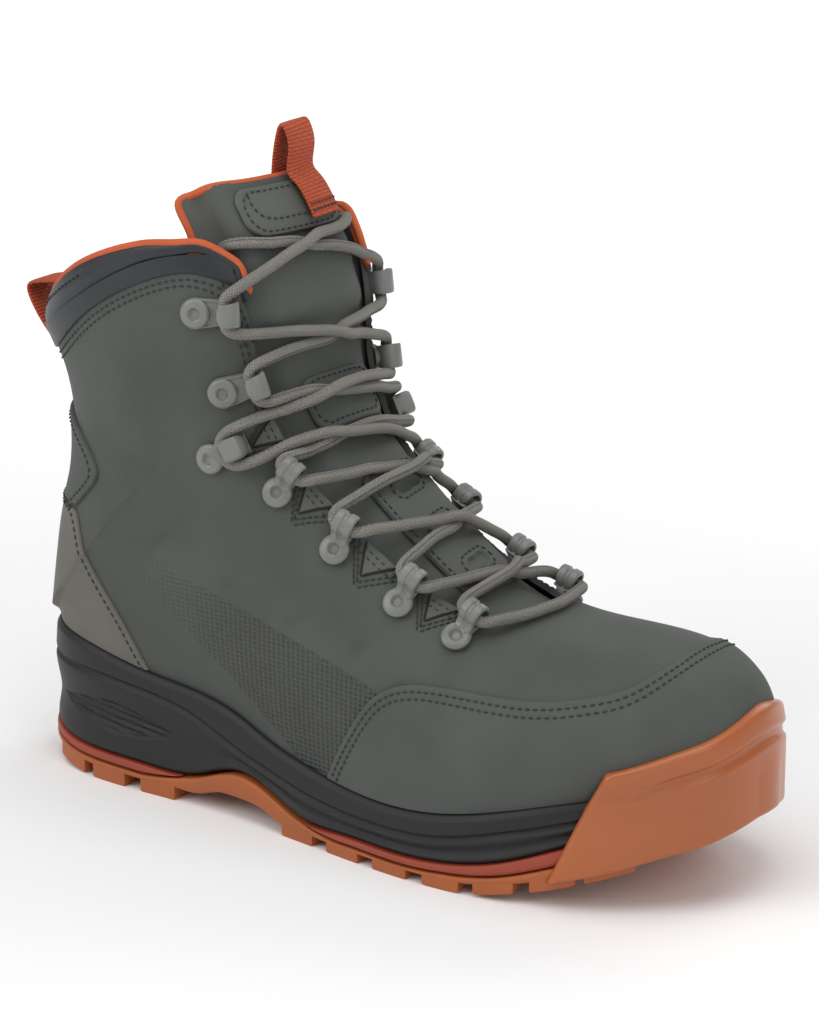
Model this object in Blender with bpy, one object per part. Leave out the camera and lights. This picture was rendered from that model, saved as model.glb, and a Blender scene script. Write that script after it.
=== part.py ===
# Wading boot, right foot, standing empty on its sole. Toe to +X, outer side to -Y.
# Sections across the foot and the shaft give the upper; every overlay is cut from the same surface.
import math

import bmesh
import bpy
import numpy as np
from mathutils import Vector
from mathutils.bvhtree import BVHTree

# Driving sizes in metres
SOLE_LENGTH = 0.3255
BALL_WIDTH = 0.116
HEEL_HEIGHT = 0.052
UPPER_RISE = 0.195
WALL = 0.0022
FLANGE = 0.0045
TUCK = 0.004
GAP = 0.0003

# Sole unit
LUG_HEIGHT = 0.0036
HEEL_LUG_HEIGHT = 0.0048
TOE_SPRING = 0.029
TOE_SPRING_START = 0.69
BEVEL_HEEL = 0.0055
BUMPER_WALL = 0.0034
BUMPER_PROUD = 0.0013
BUMPER_BACK_LOW = 0.265
BUMPER_BACK_TOP = 0.285
INSOLE_THICKNESS = 0.004
INSOLE_MARGIN = 0.0022

# Upper's added pieces
OVERLAY = 0.0012
CUFF_HEIGHT = 0.0135
CUFF_THICKNESS = 0.009
TONGUE_THICKNESS = 0.0052
TONGUE_PANEL = 0.0014
WEBBING_WIDTH = 0.017
WEBBING_THICKNESS = 0.0018
TONGUE_LOOP_SIDE = 0.25
TONGUE_LOOP_RISE = 0.0165

# Lace and its hardware
LACE_RADIUS = 0.0026
LACE_CLEAR = 0.0056
LACE_LEAD = 0.0030
STEEP_LACES = ("eyelet_lateral_1", "eyelet_lateral_2")  # a strand turns up sharply beside these
TUCK_AT = 2.04
TUCK_SHARE = 0.72
RING_INNER = 0.0033
RING_WALL = 0.0017
EYELET_REACH = 0.0105
HOOK_REACH = 0.0140
EYELET_WIDTH = 0.0082
HOOK_WIDTH = 0.0092
BASE_RADIUS = 0.0056
BASE_THICKNESS = 0.0022
STEM_RADIUS = 0.0022

# Plan outline: shares of sole length, then of ball width on each side
OUTLINE = (
    # along, lateral, medial
    (0.000, 0.000, 0.000),
    (0.031, 0.207, 0.205),
    (0.077, 0.293, 0.290),
    (0.138, 0.332, 0.328),
    (0.215, 0.345, 0.330),
    (0.280, 0.353, 0.320),
    (0.353, 0.375, 0.311),
    (0.430, 0.409, 0.323),
    (0.507, 0.450, 0.362),
    (0.584, 0.488, 0.414),
    (0.660, 0.508, 0.457),
    (0.722, 0.505, 0.483),
    (0.784, 0.479, 0.488),
    (0.845, 0.419, 0.463),
    (0.906, 0.320, 0.400),
    (0.952, 0.190, 0.311),
    (1.000, -0.086, 0.086),
)

# Sole heights along the foot, as shares of the heel height
SOLE_HEIGHTS = (
    # along, foam bottom, groove, feather, foot bed
    (0.000, 0.330, 0.885, 1.150, 0.700),
    (0.090, 0.255, 0.885, 1.120, 0.690),
    (0.200, 0.231, 0.830, 1.000, 0.660),
    (0.280, 0.250, 0.735, 0.940, 0.620),
    (0.350, 0.385, 0.570, 0.840, 0.570),
    (0.400, 0.327, 0.480, 0.715, 0.500),
    (0.455, 0.190, 0.400, 0.625, 0.430),
    (0.530, 0.178, 0.350, 0.550, 0.360),
    (0.600, 0.178, 0.345, 0.530, 0.340),
    (0.680, 0.205, 0.390, 0.580, 0.370),
    (0.755, 0.300, 0.510, 0.690, 0.460),
    (0.830, 0.470, 0.640, 0.810, 0.590),
    (0.900, 0.620, 0.760, 0.890, 0.720),
    (1.000, 0.760, 0.860, 0.960, 0.830),
)

# Thickness of the coloured bands under the foam, as shares of the heel height
BANDS = (
    # along, thickness
    (0.000, 0.077),
    (0.200, 0.077),
    (0.262, 0.012),
    (0.470, 0.012),
    (0.520, 0.060),
    (0.680, 0.070),
    (0.755, 0.100),
    (0.860, 0.130),
    (0.900, 0.012),
    (1.000, 0.012),
)
HEEL_BAND_END = 0.262
FOREFOOT_BAND = (0.470, 0.835)

# Sections of the upper from toe (0) to heel corner (1), collar (2) and tongue top (2.5).
# Ridge along and widths are shares of sole length and ball width, heights of the upper's rise.
SECTIONS = (
    # at, ridge_along, ridge_up, ridge_side, lateral, medial, widest, back_round, front_round
    (0.04, 0.9815, 0.099, 0.086, 0.00, 0.00, 0.02, 2.3, 2.0),
    (0.07, 0.9870, 0.150, 0.082, 0.08, 0.19, 0.05, 2.3, 2.0),
    (0.10, 0.9750, 0.225, 0.078, 0.16, 0.27, 0.12, 2.3, 2.1),
    (0.15, 0.9450, 0.283, 0.065, 0.24, 0.34, 0.22, 2.3, 2.2),
    (0.20, 0.9080, 0.308, 0.050, 0.335, 0.40, 0.28, 2.3, 2.3),
    (0.30, 0.8020, 0.323, 0.025, 0.460, 0.466, 0.30, 2.3, 2.4),
    (0.40, 0.6880, 0.356, 0.010, 0.480, 0.432, 0.30, 2.3, 2.3),
    (0.50, 0.5680, 0.477, 0.000, 0.425, 0.385, 0.36, 2.3, 2.3),
    (0.60, 0.4670, 0.620, 0.000, 0.390, 0.372, 0.46, 2.3, 2.6),
    (0.70, 0.4270, 0.703, 0.000, 0.380, 0.380, 0.55, 2.3, 2.9),
    (0.80, 0.4115, 0.759, 0.000, 0.383, 0.388, 0.60, 2.3, 3.0),
    (0.90, 0.4040, 0.800, 0.000, 0.386, 0.394, 0.62, 2.3, 3.1),
    (1.00, 0.4035, 0.826, 0.000, 0.388, 0.398, 0.62, 2.3, 3.1),
    (1.20, 0.4020, 0.857, 0.000, 0.391, 0.401, 0.60, 2.2, 3.1),
    (1.40, 0.4000, 0.888, 0.000, 0.394, 0.406, 0.57, 2.1, 3.1),
    (1.60, 0.3960, 0.921, 0.000, 0.400, 0.412, 0.54, 2.0, 3.1),
    (1.80, 0.3870, 0.959, 0.000, 0.405, 0.420, 0.52, 2.0, 3.1),
    (2.00, 0.3740, 1.000, 0.000, 0.410, 0.426, 0.50, 2.0, 3.1),
    (2.25, 0.3540, 1.072, 0.000, 0.410, 0.424, 0.50, 2.0, 3.1),
    (2.50, 0.3200, 1.149, 0.000, 0.405, 0.418, 0.50, 2.0, 3.1),
)

# Back line of the shaft from the heel corner up: shares of sole length and of the rise
BACK = (
    # at, along, up
    (1.00, 0.0138, 0.000),
    (1.20, 0.0270, 0.235),
    (1.40, 0.0430, 0.365),
    (1.60, 0.0450, 0.510),
    (1.80, 0.0320, 0.640),
    (2.00, 0.0090, 0.735),
    (2.50, -0.050, 0.950),
)

# Throat: where it opens, and the arc from the ridge to its edge as a share of ball width
THROAT_AT = 0.375
THROAT_ROUND = 0.055
THROAT = (
    # at, half width
    (0.375, 0.215),
    (0.42, 0.235),
    (0.50, 0.275),
    (0.60, 0.300),
    (0.80, 0.305),
    (1.00, 0.310),
    (2.00, 0.325),
)
SWING = 0.13
SWING_TOP = 0.07
COLLAR_BOW = 0.062

# Hardware: rivet and lace ring on the upper, by section and by distance back from the throat's edge
EYELETS = (
    # name, rivet's section, its distance from the throat, ring's section, its distance,
    # then on the inner side the change of section and of distance
    ("1", 0.635, 0.0140, 0.632, 0.0010, -0.040, 0.0),
    ("2", 0.550, 0.0120, 0.550, -0.0010, -0.018, 0.0),
    ("3", 0.480, 0.0115, 0.477, -0.0015, -0.014, 0.0),
    ("4", 0.420, 0.0125, 0.415, -0.0005, -0.014, 0.0),
)
HOOKS = (
    # the same columns
    ("1", 1.690, 0.0190, 1.620, 0.0045, -0.050, 0.0),
    ("2", 1.010, 0.0170, 0.900, 0.0020, -0.050, 0.0),
    ("3", 0.795, 0.0320, 0.755, 0.0170, -0.065, -0.0115),
)

# Side views of the overlays: shares of sole length and of the upper's rise
TOE_CAP_EDGE = (
    (0.488, -0.060),
    (0.500, 0.000),
    (0.528, 0.088),
    (0.562, 0.174),
    (0.600, 0.222),
    (0.660, 0.240),
    (0.768, 0.243),
    (0.845, 0.262),
    (0.885, 0.283),
    (0.915, 0.330),
)
HEEL_COUNTER_EDGE = (
    (0.212, 0.040),
    (0.204, 0.118),
    (0.163, 0.231),
    (0.127, 0.323),
    (0.110, 0.400),
    (0.103, 0.424),
)
HEEL_TAB_EDGE = (
    (0.103, 0.434),
    (0.138, 0.488),
    (0.149, 0.536),
    (0.110, 0.590),
    (0.062, 0.621),
    (0.000, 0.630),
)

TOE_CAP_CORNERS = ((0.925, 0.80), (1.20, 0.80), (1.20, -0.40), (0.488, -0.40))
HEEL_COUNTER_CORNERS = ((-0.10, 0.424), (-0.10, -0.30), (0.212, -0.30))
HEEL_TAB_CORNERS = ((-0.10, 0.630), (-0.10, 0.434))

# Panels on the tongue: name, lowest and highest section, half width
TONGUE_PANELS = (
    ("instep", 0.430, 0.575, 0.0185),
    ("mid", 0.640, 0.800, 0.0200),
    ("top", 2.120, 2.420, 0.0250),
)

LATERAL, MEDIAL = -1, 1
FIRST_ROW = 0.04
HALF_COLUMNS = 8
EASING_PASSES = 4
COLOURS = {
    "grey_green": (0.080, 0.087, 0.074),
    "taupe": (0.135, 0.124, 0.108),
    "black": (0.022, 0.024, 0.027),
    "foam": (0.016, 0.017, 0.019),
    "gum": (0.510, 0.130, 0.030),
    "red": (0.420, 0.070, 0.035),
    "orange": (0.560, 0.085, 0.025),
    "hardware": (0.110, 0.112, 0.105),
    "lace": (0.250, 0.230, 0.205),
    "lining": (0.180, 0.175, 0.165),
}


def spline(rows):
    # Natural cubic through the rows' other columns, over their first one
    rows = np.asarray(rows, float)
    x, y = rows[:, 0], rows[:, 1:]
    h = np.diff(x)
    a, b = np.eye(len(x)), np.zeros_like(y)
    for i in range(1, len(x) - 1):
        a[i, i - 1 : i + 2] = h[i - 1], 2 * (h[i - 1] + h[i]), h[i]
        b[i] = 6 * ((y[i + 1] - y[i]) / h[i] - (y[i] - y[i - 1]) / h[i - 1])
    m = np.linalg.solve(a, b)

    def at(t):
        i = int(np.clip(np.searchsorted(x, t) - 1, 0, len(h) - 1))
        u, v = t - x[i], x[i + 1] - t
        bend = (m[i] * v**3 + m[i + 1] * u**3) / (6 * h[i])
        return bend + (y[i] / h[i] - m[i] * h[i] / 6) * v + (y[i + 1] / h[i] - m[i + 1] * h[i] / 6) * u

    return at


def straight(rows):
    rows = np.asarray(rows, float)
    return lambda t: np.array([np.interp(t, rows[:, 0], rows[:, k]) for k in range(1, rows.shape[1])])


def smooth(share):
    share = min(max(share, 0.0), 1.0)
    return share * share * (3 - 2 * share)


outline_at = spline([(math.acos(1 - 2 * a), lat, med) for a, lat, med in OUTLINE])
heights_at = spline(SOLE_HEIGHTS)
bands_at = straight(BANDS)
section_at = spline(SECTIONS)
back_at = spline(BACK)
throat_at = straight(THROAT)


def rim(angle, inset=0.0):
    # Sole outline in plan: 0 at the heel, pi at the toe by the outer side, then back by the inner side
    def point(t):
        side, t = (LATERAL, t) if t <= math.pi else (MEDIAL, 2 * math.pi - t)
        lat, med = outline_at(min(max(t, 0.0), math.pi)) * BALL_WIDTH
        return np.array([SOLE_LENGTH / 2 * (1 - math.cos(t)), -lat if side < 0 else med])

    step = 0.012
    angle %= 2 * math.pi
    a, b = point((angle - step) % (2 * math.pi)), point((angle + step) % (2 * math.pi))
    if angle in (0.0, math.pi):
        across = (b - a) / np.linalg.norm(b - a)
    else:
        across = (b - a) / np.linalg.norm(b - a)
    normal = np.array([across[1], -across[0]])
    here = point(angle)
    return here - inset * normal


def sole_height(along):
    # Foam bottom, groove, feather line and foot bed at this share of the length
    return heights_at(min(max(along, 0.0), 1.0)) * HEEL_HEIGHT


def feather(x):
    return sole_height(x / SOLE_LENGTH)[2]


def ground(x):
    # Underside of the tread: flat under heel and ball, rising to the toe and a little at the heel's back
    toe = max(0.0, x / SOLE_LENGTH - TOE_SPRING_START) / (1 - TOE_SPRING_START)
    heel = max(0.0, 1 - x / (0.15 * SOLE_LENGTH))
    return TOE_SPRING * toe**1.5 + BEVEL_HEEL * heel**2


def ball_feather():
    return feather(0.69 * SOLE_LENGTH)


def section_line(at, side, count=26):
    # One side of the section: from feather or back seam to the ridge
    if at <= FIRST_ROW:
        angles = math.pi * (1 - FIRST_ROW * np.linspace(1, 0, 2 * count))
        spots = [rim(a if side < 0 else 2 * math.pi - a, FLANGE) for a in angles]
        return np.array([(x, y, feather(x)) for x, y in spots])
    along, up, centre, lateral, medial, widest, back, front = section_at(at)
    base = ball_feather()
    ridge = np.array([along * SOLE_LENGTH, 0.0, base + up * UPPER_RISE])
    middle = centre * BALL_WIDTH
    if at <= 1:
        angle = math.pi * (1 - at)
        x, y = rim(angle if side < 0 else 2 * math.pi - angle, FLANGE)
        foot = np.array([x, 0.0, feather(x)])
        start = max(side * (y - middle), 0.0)
        if at == 1:
            start, foot[0] = 0.0, FLANGE
    else:
        share, rise = back_at(at)
        low = feather(FLANGE)
        foot = np.array([share * SOLE_LENGTH, 0.0, low + rise * (base + UPPER_RISE - low)])
        start = 0.0
    wide = (lateral if side < 0 else medial) * BALL_WIDTH - side * middle
    wide = max(wide, start * 1.01)
    begin = 1 - (1 - (start / wide) ** back) ** (1 / back)
    a = np.linspace(math.acos((1 - begin) ** (back / 2)), math.pi / 2, count)
    b = np.linspace(0, math.pi / 2, count + 8)[1:]
    cos_a, cos_b = np.maximum(np.cos(a), 0), np.maximum(np.cos(b), 0)
    low = widest * (1 - cos_a ** (2 / back) - begin) / (1 - begin)
    high = widest + (1 - widest) * np.sin(b) ** (2 / front)
    share = np.concatenate([low, high])
    width = wide * np.concatenate([np.sin(a) ** (2 / back), cos_b ** (2 / front)])
    line = foot + (ridge - foot) * share[:, None]
    line[:, 1] = middle + side * width
    bow = COLLAR_BOW * UPPER_RISE * min(max((at - 1.4) / 0.6, 0.0), 1.0) ** 1.5
    line[:, 2] += bow * 6.75 * share**2 * (1 - share)
    turn = SWING * min(max((at - 0.4) / 0.5, 0.0), 1.0) + SWING_TOP * smooth((at - 1.0) / 1.4)
    line[:, 0] += turn * (line[:, 1] - middle) * share
    return line


def along_line(line, distances):
    # Points at these distances back from the line's last point
    length = np.concatenate([[0], np.cumsum(np.linalg.norm(np.diff(line, axis=0), axis=1))])
    place = length[-1] - np.asarray(distances)
    return np.stack([np.interp(place, length, line[:, k]) for k in range(3)], 1), length[-1]


def throat_half(at):
    if at <= THROAT_AT:
        return 0.0
    opening = min((at - THROAT_AT) / THROAT_ROUND, 1.0)
    return throat_at(at)[0] * BALL_WIDTH * math.sqrt(1 - (1 - opening) ** 2)


def section_rows():
    toe = np.linspace(FIRST_ROW, THROAT_AT, 10)
    foot = THROAT_AT + (1 - THROAT_AT) * np.linspace(0, 1, 14)[1:] ** 1.5
    shaft = np.linspace(1, 2, 8)[1:]
    return np.concatenate([toe, foot, shaft])


ROWS = section_rows()


class Skin:
    # The upper's outer surface as a grid: rows from toe to collar, columns round each section
    def __init__(self):
        n = HALF_COLUMNS
        self.points, self.faces, self.feather = {}, [], set()
        for i, at in enumerate(ROWS):
            for side in (LATERAL, MEDIAL):
                line = section_line(at, side)
                gap = throat_half(at)
                length = np.linalg.norm(np.diff(line, axis=0), axis=1).sum()
                steps = np.linspace(length, gap, n + 1)
                spots, _ = along_line(line, steps)
                for j in range(n + 1):
                    column = j if side < 0 else 2 * n + 1 - j
                    self.points[self.key(i, column)] = spots[j]
        self.ease_heel_corner()
        for i in range(len(ROWS) - 1):
            for j in [*range(n), *range(n + 1, 2 * n + 1)]:
                ring = [self.key(i, j), self.key(i, j + 1), self.key(i + 1, j + 1), self.key(i + 1, j)]
                ring = [k for m, k in enumerate(ring) if k != ring[m - 1]]
                self.faces.extend(self.halved(ring))
        low = {self.key(0, j) for j in range(2 * n + 2)}
        low |= {self.key(i, j) for i, at in enumerate(ROWS) if at <= 1 for j in (0, 2 * n + 1)}
        self.feather = low
        for a, b in self.open_edges(self.faces):
            if a in low and b in low:
                c, d = ("skirt", a), ("skirt", b)
                for top, skirt in ((a, c), (b, d)):
                    self.points[skirt] = self.points[top] - np.array([0, 0, TUCK])
                self.faces.extend(self.halved([b, a, c, d]))
        self.normals = self.find_normals()

    def halved(self, ring):
        # Triangles, so that each overlay has the facets of the surface under it
        if len(ring) == 3:
            return [ring]
        a, b, c, d = ring
        across, other = (np.linalg.norm(self.points[x] - self.points[y]) for x, y in ((a, c), (b, d)))
        return [[a, b, c], [a, c, d]] if across <= other else [[a, b, d], [b, c, d]]

    def ease_heel_corner(self):
        # The sections turn from the sole's edge to the back seam at 1: their widths are evened out there
        near = [i for i, at in enumerate(ROWS) if 0.72 < at < 1.5]
        for _ in range(EASING_PASSES):
            for j in [*range(1, HALF_COLUMNS), *range(HALF_COLUMNS + 2, 2 * HALF_COLUMNS + 1)]:
                widths = [self.points[self.key(i, j)][1] for i in range(len(ROWS))]
                for i in near:
                    self.points[self.key(i, j)][1] = (widths[i - 1] + 2 * widths[i] + widths[i + 1]) / 4

    def key(self, i, j):
        n = HALF_COLUMNS
        if j == n + 1 and ROWS[i] <= THROAT_AT:
            return (i, n)
        if j == 2 * n + 1 and ROWS[i] >= 1:
            return (i, 0)
        return (i, j)

    @staticmethod
    def open_edges(faces):
        edges = {}
        for ring in faces:
            for m, b in enumerate(ring):
                edges[(ring[m - 1], b)] = True
        return [edge for edge in edges if (edge[1], edge[0]) not in edges]

    def find_normals(self):
        total = {k: np.zeros(3) for k in self.points}
        for ring in self.faces:
            p = [self.points[k] for k in ring]
            area = np.cross(p[1] - p[0], p[2] - p[0])
            for k in ring:
                total[k] += area
        for k in total:
            if k[0] == "skirt":
                total[k][2] = 0.0
        return {k: v / np.linalg.norm(v) for k, v in total.items()}

    def shell(self, name, outer, inner, colour, keep=lambda at: True, skirt=True):
        quads = [
            ring
            for ring in self.faces
            if (skirt or all(k[0] != "skirt" for k in ring))
            and all(keep(ROWS[(k[1] if k[0] == "skirt" else k)[0]]) for k in ring)
        ]
        used = sorted({k for ring in quads for k in ring}, key=str)
        index = {k: m for m, k in enumerate(used)}
        outside = [self.points[k] + outer * self.normals[k] for k in used]
        inside = [self.points[k] + inner * self.normals[k] for k in used]
        count = len(used)
        faces = [[index[k] for k in ring] for ring in quads]
        faces += [[index[k] + count for k in reversed(ring)] for ring in quads]
        faces += [
            [index[b], index[a], index[a] + count, index[b] + count] for a, b in self.open_edges(quads)
        ]
        return make(name, outside + inside, faces, colour)

    def spot(self, at, back, side):
        # The surface's point on a section, this far back from the throat's edge, with its normal
        spots, _ = along_line(section_line(at, side, 40), [throat_half(at) + back])
        hit, normal, _, _ = self.tree.find_nearest(Vector(spots[0]))
        return np.array(hit), np.array(normal)

    def build_tree(self):
        used = list(self.points)
        index = {k: m for m, k in enumerate(used)}
        self.tree = BVHTree.FromPolygons(
            [Vector(self.points[k]) for k in used], [[index[k] for k in ring] for ring in self.faces]
        )


def material(colour):
    found = bpy.data.materials.get(colour)
    if found:
        return found
    found = bpy.data.materials.new(colour)
    found.use_nodes = True
    shader = found.node_tree.nodes["Principled BSDF"]
    shader.inputs["Base Color"].default_value = (*COLOURS[colour], 1)
    shader.inputs["Roughness"].default_value = 0.45 if colour == "hardware" else 0.75
    shader.inputs["Metallic"].default_value = 0.0
    found.diffuse_color = (*COLOURS[colour], 1)
    return found


def make(name, points, faces, colour):
    mesh = bpy.data.meshes.new(name)
    mesh.from_pydata([tuple(map(float, p)) for p in points], [], faces)
    mesh.validate()
    obj = bpy.data.objects.new(name, mesh)
    bpy.context.scene.collection.objects.link(obj)
    obj.data.materials.append(material(colour))
    bm = bmesh.new()
    bm.from_mesh(mesh)
    bmesh.ops.recalc_face_normals(bm, faces=bm.faces)
    bm.to_mesh(mesh)
    bm.free()
    return obj


def boolean(obj, other, operation):
    # Applies the Boolean and removes the other object
    modifier = obj.modifiers.new(operation.lower(), "BOOLEAN")
    modifier.operation, modifier.solver, modifier.object = operation, "EXACT", other
    bpy.context.view_layer.update()
    graph = bpy.context.evaluated_depsgraph_get()
    mesh = bpy.data.meshes.new_from_object(obj.evaluated_get(graph))
    obj.modifiers.clear()
    old = obj.data
    obj.data = mesh
    bpy.data.meshes.remove(old)
    bpy.data.objects.remove(other)
    return obj


def joined(objects):
    # One object from several that don't touch
    bm = bmesh.new()
    for obj in objects:
        bm.from_mesh(obj.data)
    first = objects[0]
    bm.to_mesh(first.data)
    bm.free()
    for obj in objects[1:]:
        bpy.data.objects.remove(obj)
    return first


def loft(name, loops, colour, closed_ends=True):
    # Solid through loops of equal count, welding points that coincide
    points, faces, n = [], [], len(loops[0])
    for loop in loops:
        points.extend(loop)
    seen, index = {}, []
    for p in points:
        index.append(seen.setdefault(tuple(np.round(np.asarray(p), 7)), len(seen)))
    unique = list(seen)

    def face(ids):
        ids = [index[k] for k in ids]
        ids = [k for m, k in enumerate(ids) if k != ids[m - 1]]
        if len(set(ids)) >= 3:
            faces.append(ids)

    for i in range(len(loops) - 1):
        for j in range(n):
            k = (j + 1) % n
            face([i * n + j, i * n + k, (i + 1) * n + k, (i + 1) * n + j])
    if closed_ends:
        face(list(range(n))[::-1])
        face([(len(loops) - 1) * n + j for j in range(n)])
    return make(name, unique, faces, colour)


def sole_piece(name, angles, profile, colour):
    # Cross-sections of the sole: the profile runs from the underside's middle round the edge to the top's middle
    def half(angle, levels):
        spots = [rim(angle, inset) for inset, _ in levels]
        return [(*spot, profile(spot[0])[k][1]) for k, spot in enumerate(spots)]

    loops = []
    for angle in angles:
        levels = profile(SOLE_LENGTH / 2 * (1 - math.cos(angle)))
        loops.append(half(angle, levels) + half(2 * math.pi - angle, levels)[::-1])
    return loft(name, loops, colour)


def angle_of(x):
    return math.acos(1 - 2 * min(max(x / SOLE_LENGTH, 0.0), 1.0))


def station_angles(low=0.0, high=1.0):
    # The upper's own rows give the stations, so that lip and wall have the same facets
    own = [math.pi * (1 - at) for at in ROWS if at <= 1]
    ends = [math.acos(1 - 2 * low), math.acos(1 - 2 * high)]
    inside = [a for a in own + [math.pi * 0.985] if ends[0] + 0.02 < a < ends[1] - 0.02]
    return sorted(inside + ends)


def core_inset(x):
    # How far in from the outline the flat middle of the sole starts
    return 0.30 * BALL_WIDTH * min(1.0, 0.35 + 2.2 * min(x, SOLE_LENGTH - x) / SOLE_LENGTH) * 0.5


def midsole_profile(x):
    bottom, groove, top, bed = sole_height(x / SOLE_LENGTH)
    waist = bottom + 0.45 * (groove - bottom)
    core = core_inset(x)
    lip = FLANGE - GAP - 0.0002
    floor = FLANGE + WALL + 0.0028
    return [
        (core + 0.004, bottom),
        (0.0022, bottom),
        (0.0008, bottom + 0.0016),
        (0.0022, waist),
        (0.0003, groove - 0.0016),
        (0.0014, groove),
        (0.0004, groove + 0.0014),
        (0.0010, top - 0.0030),
        (0.0024, top - 0.0008),
        (lip, top - GAP),
        (lip, top - TUCK - GAP),
        (floor, top - TUCK - GAP),
        (floor + 0.0014, bed),
        (max(core, floor + 0.003) + 0.002, bed),
    ]


def band_thickness(x):
    return bands_at(x / SOLE_LENGTH)[0] * HEEL_HEIGHT


def band_profile(x):
    bottom = sole_height(x / SOLE_LENGTH)[0] - 2 * GAP
    low = bottom - band_thickness(x) + 2 * GAP
    core = core_inset(x)
    return [(core, low), (0.0009, low), (0.0, low + 0.3 * (bottom - low)), (0.0004, bottom), (core, bottom)]


def plate_top(x):
    bottom = sole_height(x / SOLE_LENGTH)[0]
    return bottom - band_thickness(x) - 3 * GAP


def plate_bottom(x):
    arch = math.exp(-(((x / SOLE_LENGTH) - 0.355) / 0.055) ** 4)
    height = np.interp(x / SOLE_LENGTH, (0.30, 0.42), (HEEL_LUG_HEIGHT, LUG_HEIGHT))
    return ground(x) + height + arch * 0.0045


def outsole_profile(x):
    low, high = plate_bottom(x), plate_top(x)
    core = core_inset(x)
    edge = min(0.0012, 0.3 * (high - low))
    return [(core, low), (0.0016, low), (0.0002, low + edge), (0.0, high - edge), (0.0004, high), (core, high)]


def lug(corners):
    # Block on a convex plan outline, from the ground line into the middle of the tread plate
    levels = (ground, lambda x: (plate_bottom(x) + plate_top(x)) / 2)
    return loft("lug", [[(x, y, level(x)) for x, y in corners] for level in levels], "gum")


def lugs():
    # Edge lugs follow the outline; cross lugs run between them
    pieces = []

    def edge_lug(share, width, depth, side):
        x = share * SOLE_LENGTH
        first, last = angle_of(x - width / 2), angle_of(x + width / 2)
        turn = (lambda a: a) if side < 0 else (lambda a: 2 * math.pi - a)
        corners = [rim(turn(first), 0.0004), rim(turn(last), 0.0004), rim(turn(last), depth), rim(turn(first), depth)]
        pieces.append(lug(corners))

    heel = (0.075, 0.145, 0.225)
    ball = (0.455, 0.530, 0.605, 0.680, 0.750, 0.820, 0.880)
    for side in (LATERAL, MEDIAL):
        for share in heel:
            edge_lug(share, 0.0175, 0.0165, side)
        for share in ball:
            edge_lug(share, 0.0165, 0.0150, side)
    for share in (0.050, 0.125, 0.195, 0.262):
        x = share * SOLE_LENGTH
        half = 0.010 if share > 0.1 else 0.007
        pieces.append(block(x, 0.0, 0.008, half))
    for share, middle in ((0.440, -0.002), (0.500, -0.002), (0.570, -0.001), (0.640, 0.0), (0.710, 0.002), (0.780, 0.004), (0.845, 0.006)):
        pieces.append(block(share * SOLE_LENGTH, middle, 0.0085, 0.0185))
    return pieces


def block(x, y, length, half):
    corners = [(x - length / 2, y - half), (x + length / 2, y - half), (x + length / 2, y + half), (x - length / 2, y + half)]
    return lug(corners)


def bumper(skin, name, grow=0.0, deep=0.0):
    # Toe bumper: a rubber wall round the toe, over foam and upper, its back edge slanting
    columns, rows = 22, 6
    grids = []
    for which in ("outer", "inner"):
        grid = []
        for b in np.linspace(0, 1, rows):
            back = angle_of(BUMPER_BACK_LOW + (BUMPER_BACK_TOP - BUMPER_BACK_LOW) * b - grow)
            line = []
            for a in np.linspace(0, 1, columns):
                angle = back + (2 * math.pi - 2 * back) * a
                x = rim(angle)[0]
                low = plate_bottom(x) - 0.0006 - grow
                share = math.sin(math.pi * a)
                top = feather(x) + 0.0115 + 0.0125 * share**1.3 + grow
                z = low + (top - low) * b
                above = max(z, feather(x) + 0.001)
                hit = min(inset_of_upper(skin, angle, above + d) for d in (0.0, 0.003, 0.006)) - 4 * GAP
                rise = smooth((z - feather(x) + 0.004) / 0.012)
                proud = -BUMPER_PROUD - grow
                if which == "outer":
                    inset = min(proud * (1 - rise) + (hit - BUMPER_WALL - grow) * rise, hit - BUMPER_WALL - grow)
                else:
                    lip = BUMPER_WALL - BUMPER_PROUD + 0.0008
                    inset = lip + (hit - lip) * smooth((z - feather(x) + 0.002) / 0.004) + grow + deep
                line.append((*rim(angle, inset), z))
            grid.append(line)
        grids.append(grid)
    points = [p for grid in grids for line in grid for p in line]
    size = columns * rows
    faces = []
    for r in range(rows - 1):
        for c in range(columns - 1):
            a = r * columns + c
            faces.append([a, a + 1, a + columns + 1, a + columns])
            faces.append([size + a, size + a + columns, size + a + columns + 1, size + a + 1])
    ring = [c for c in range(columns)] + [r * columns + columns - 1 for r in range(1, rows)]
    ring += [(rows - 1) * columns + c for c in range(columns - 2, -1, -1)] + [r * columns for r in range(rows - 2, 0, -1)]
    for m, a in enumerate(ring):
        b = ring[m - 1]
        faces.append([a, b, b + size, a + size])
    return make(name, points, faces, "gum")


def inset_of_upper(skin, angle, z):
    # How far in from the sole's outline the upper's outer surface lies at this height
    out = rim(angle, -0.03)
    into = rim(angle, 0.03) - out
    into /= np.linalg.norm(into)
    hit = skin.tree.ray_cast(Vector((*out, z)), Vector((*into, 0)))[0]
    if hit is None:
        return FLANGE
    return float(np.dot(np.array(hit)[:2] - rim(angle), into))


def insole_profile(x):
    _, _, _, bed = sole_height(x / SOLE_LENGTH)
    edge = FLANGE + WALL + 0.0028 + 0.0014 + INSOLE_MARGIN
    core = core_inset(x) + 0.008
    low, high = bed + GAP, bed + GAP + INSOLE_THICKNESS
    return [(core, low), (edge, low), (edge - 0.0004, high - 0.0012), (edge + 0.0008, high), (core, high)]


def side_prism(name, edge, corners):
    # Cutter: the side view's outline, run through the whole width
    curve = spline([(k, *p) for k, p in enumerate(edge)])
    line = [curve(t) for t in np.linspace(0, len(edge) - 1, 3 * len(edge))] + [np.array(c) for c in corners]
    base = ball_feather()
    loops = [[(p[0] * SOLE_LENGTH, y, base + p[1] * UPPER_RISE) for p in line] for y in (-0.09, 0.09)]
    cutter = loft(name, loops, "gum")
    cutter.hide_render = True
    return cutter


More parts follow.
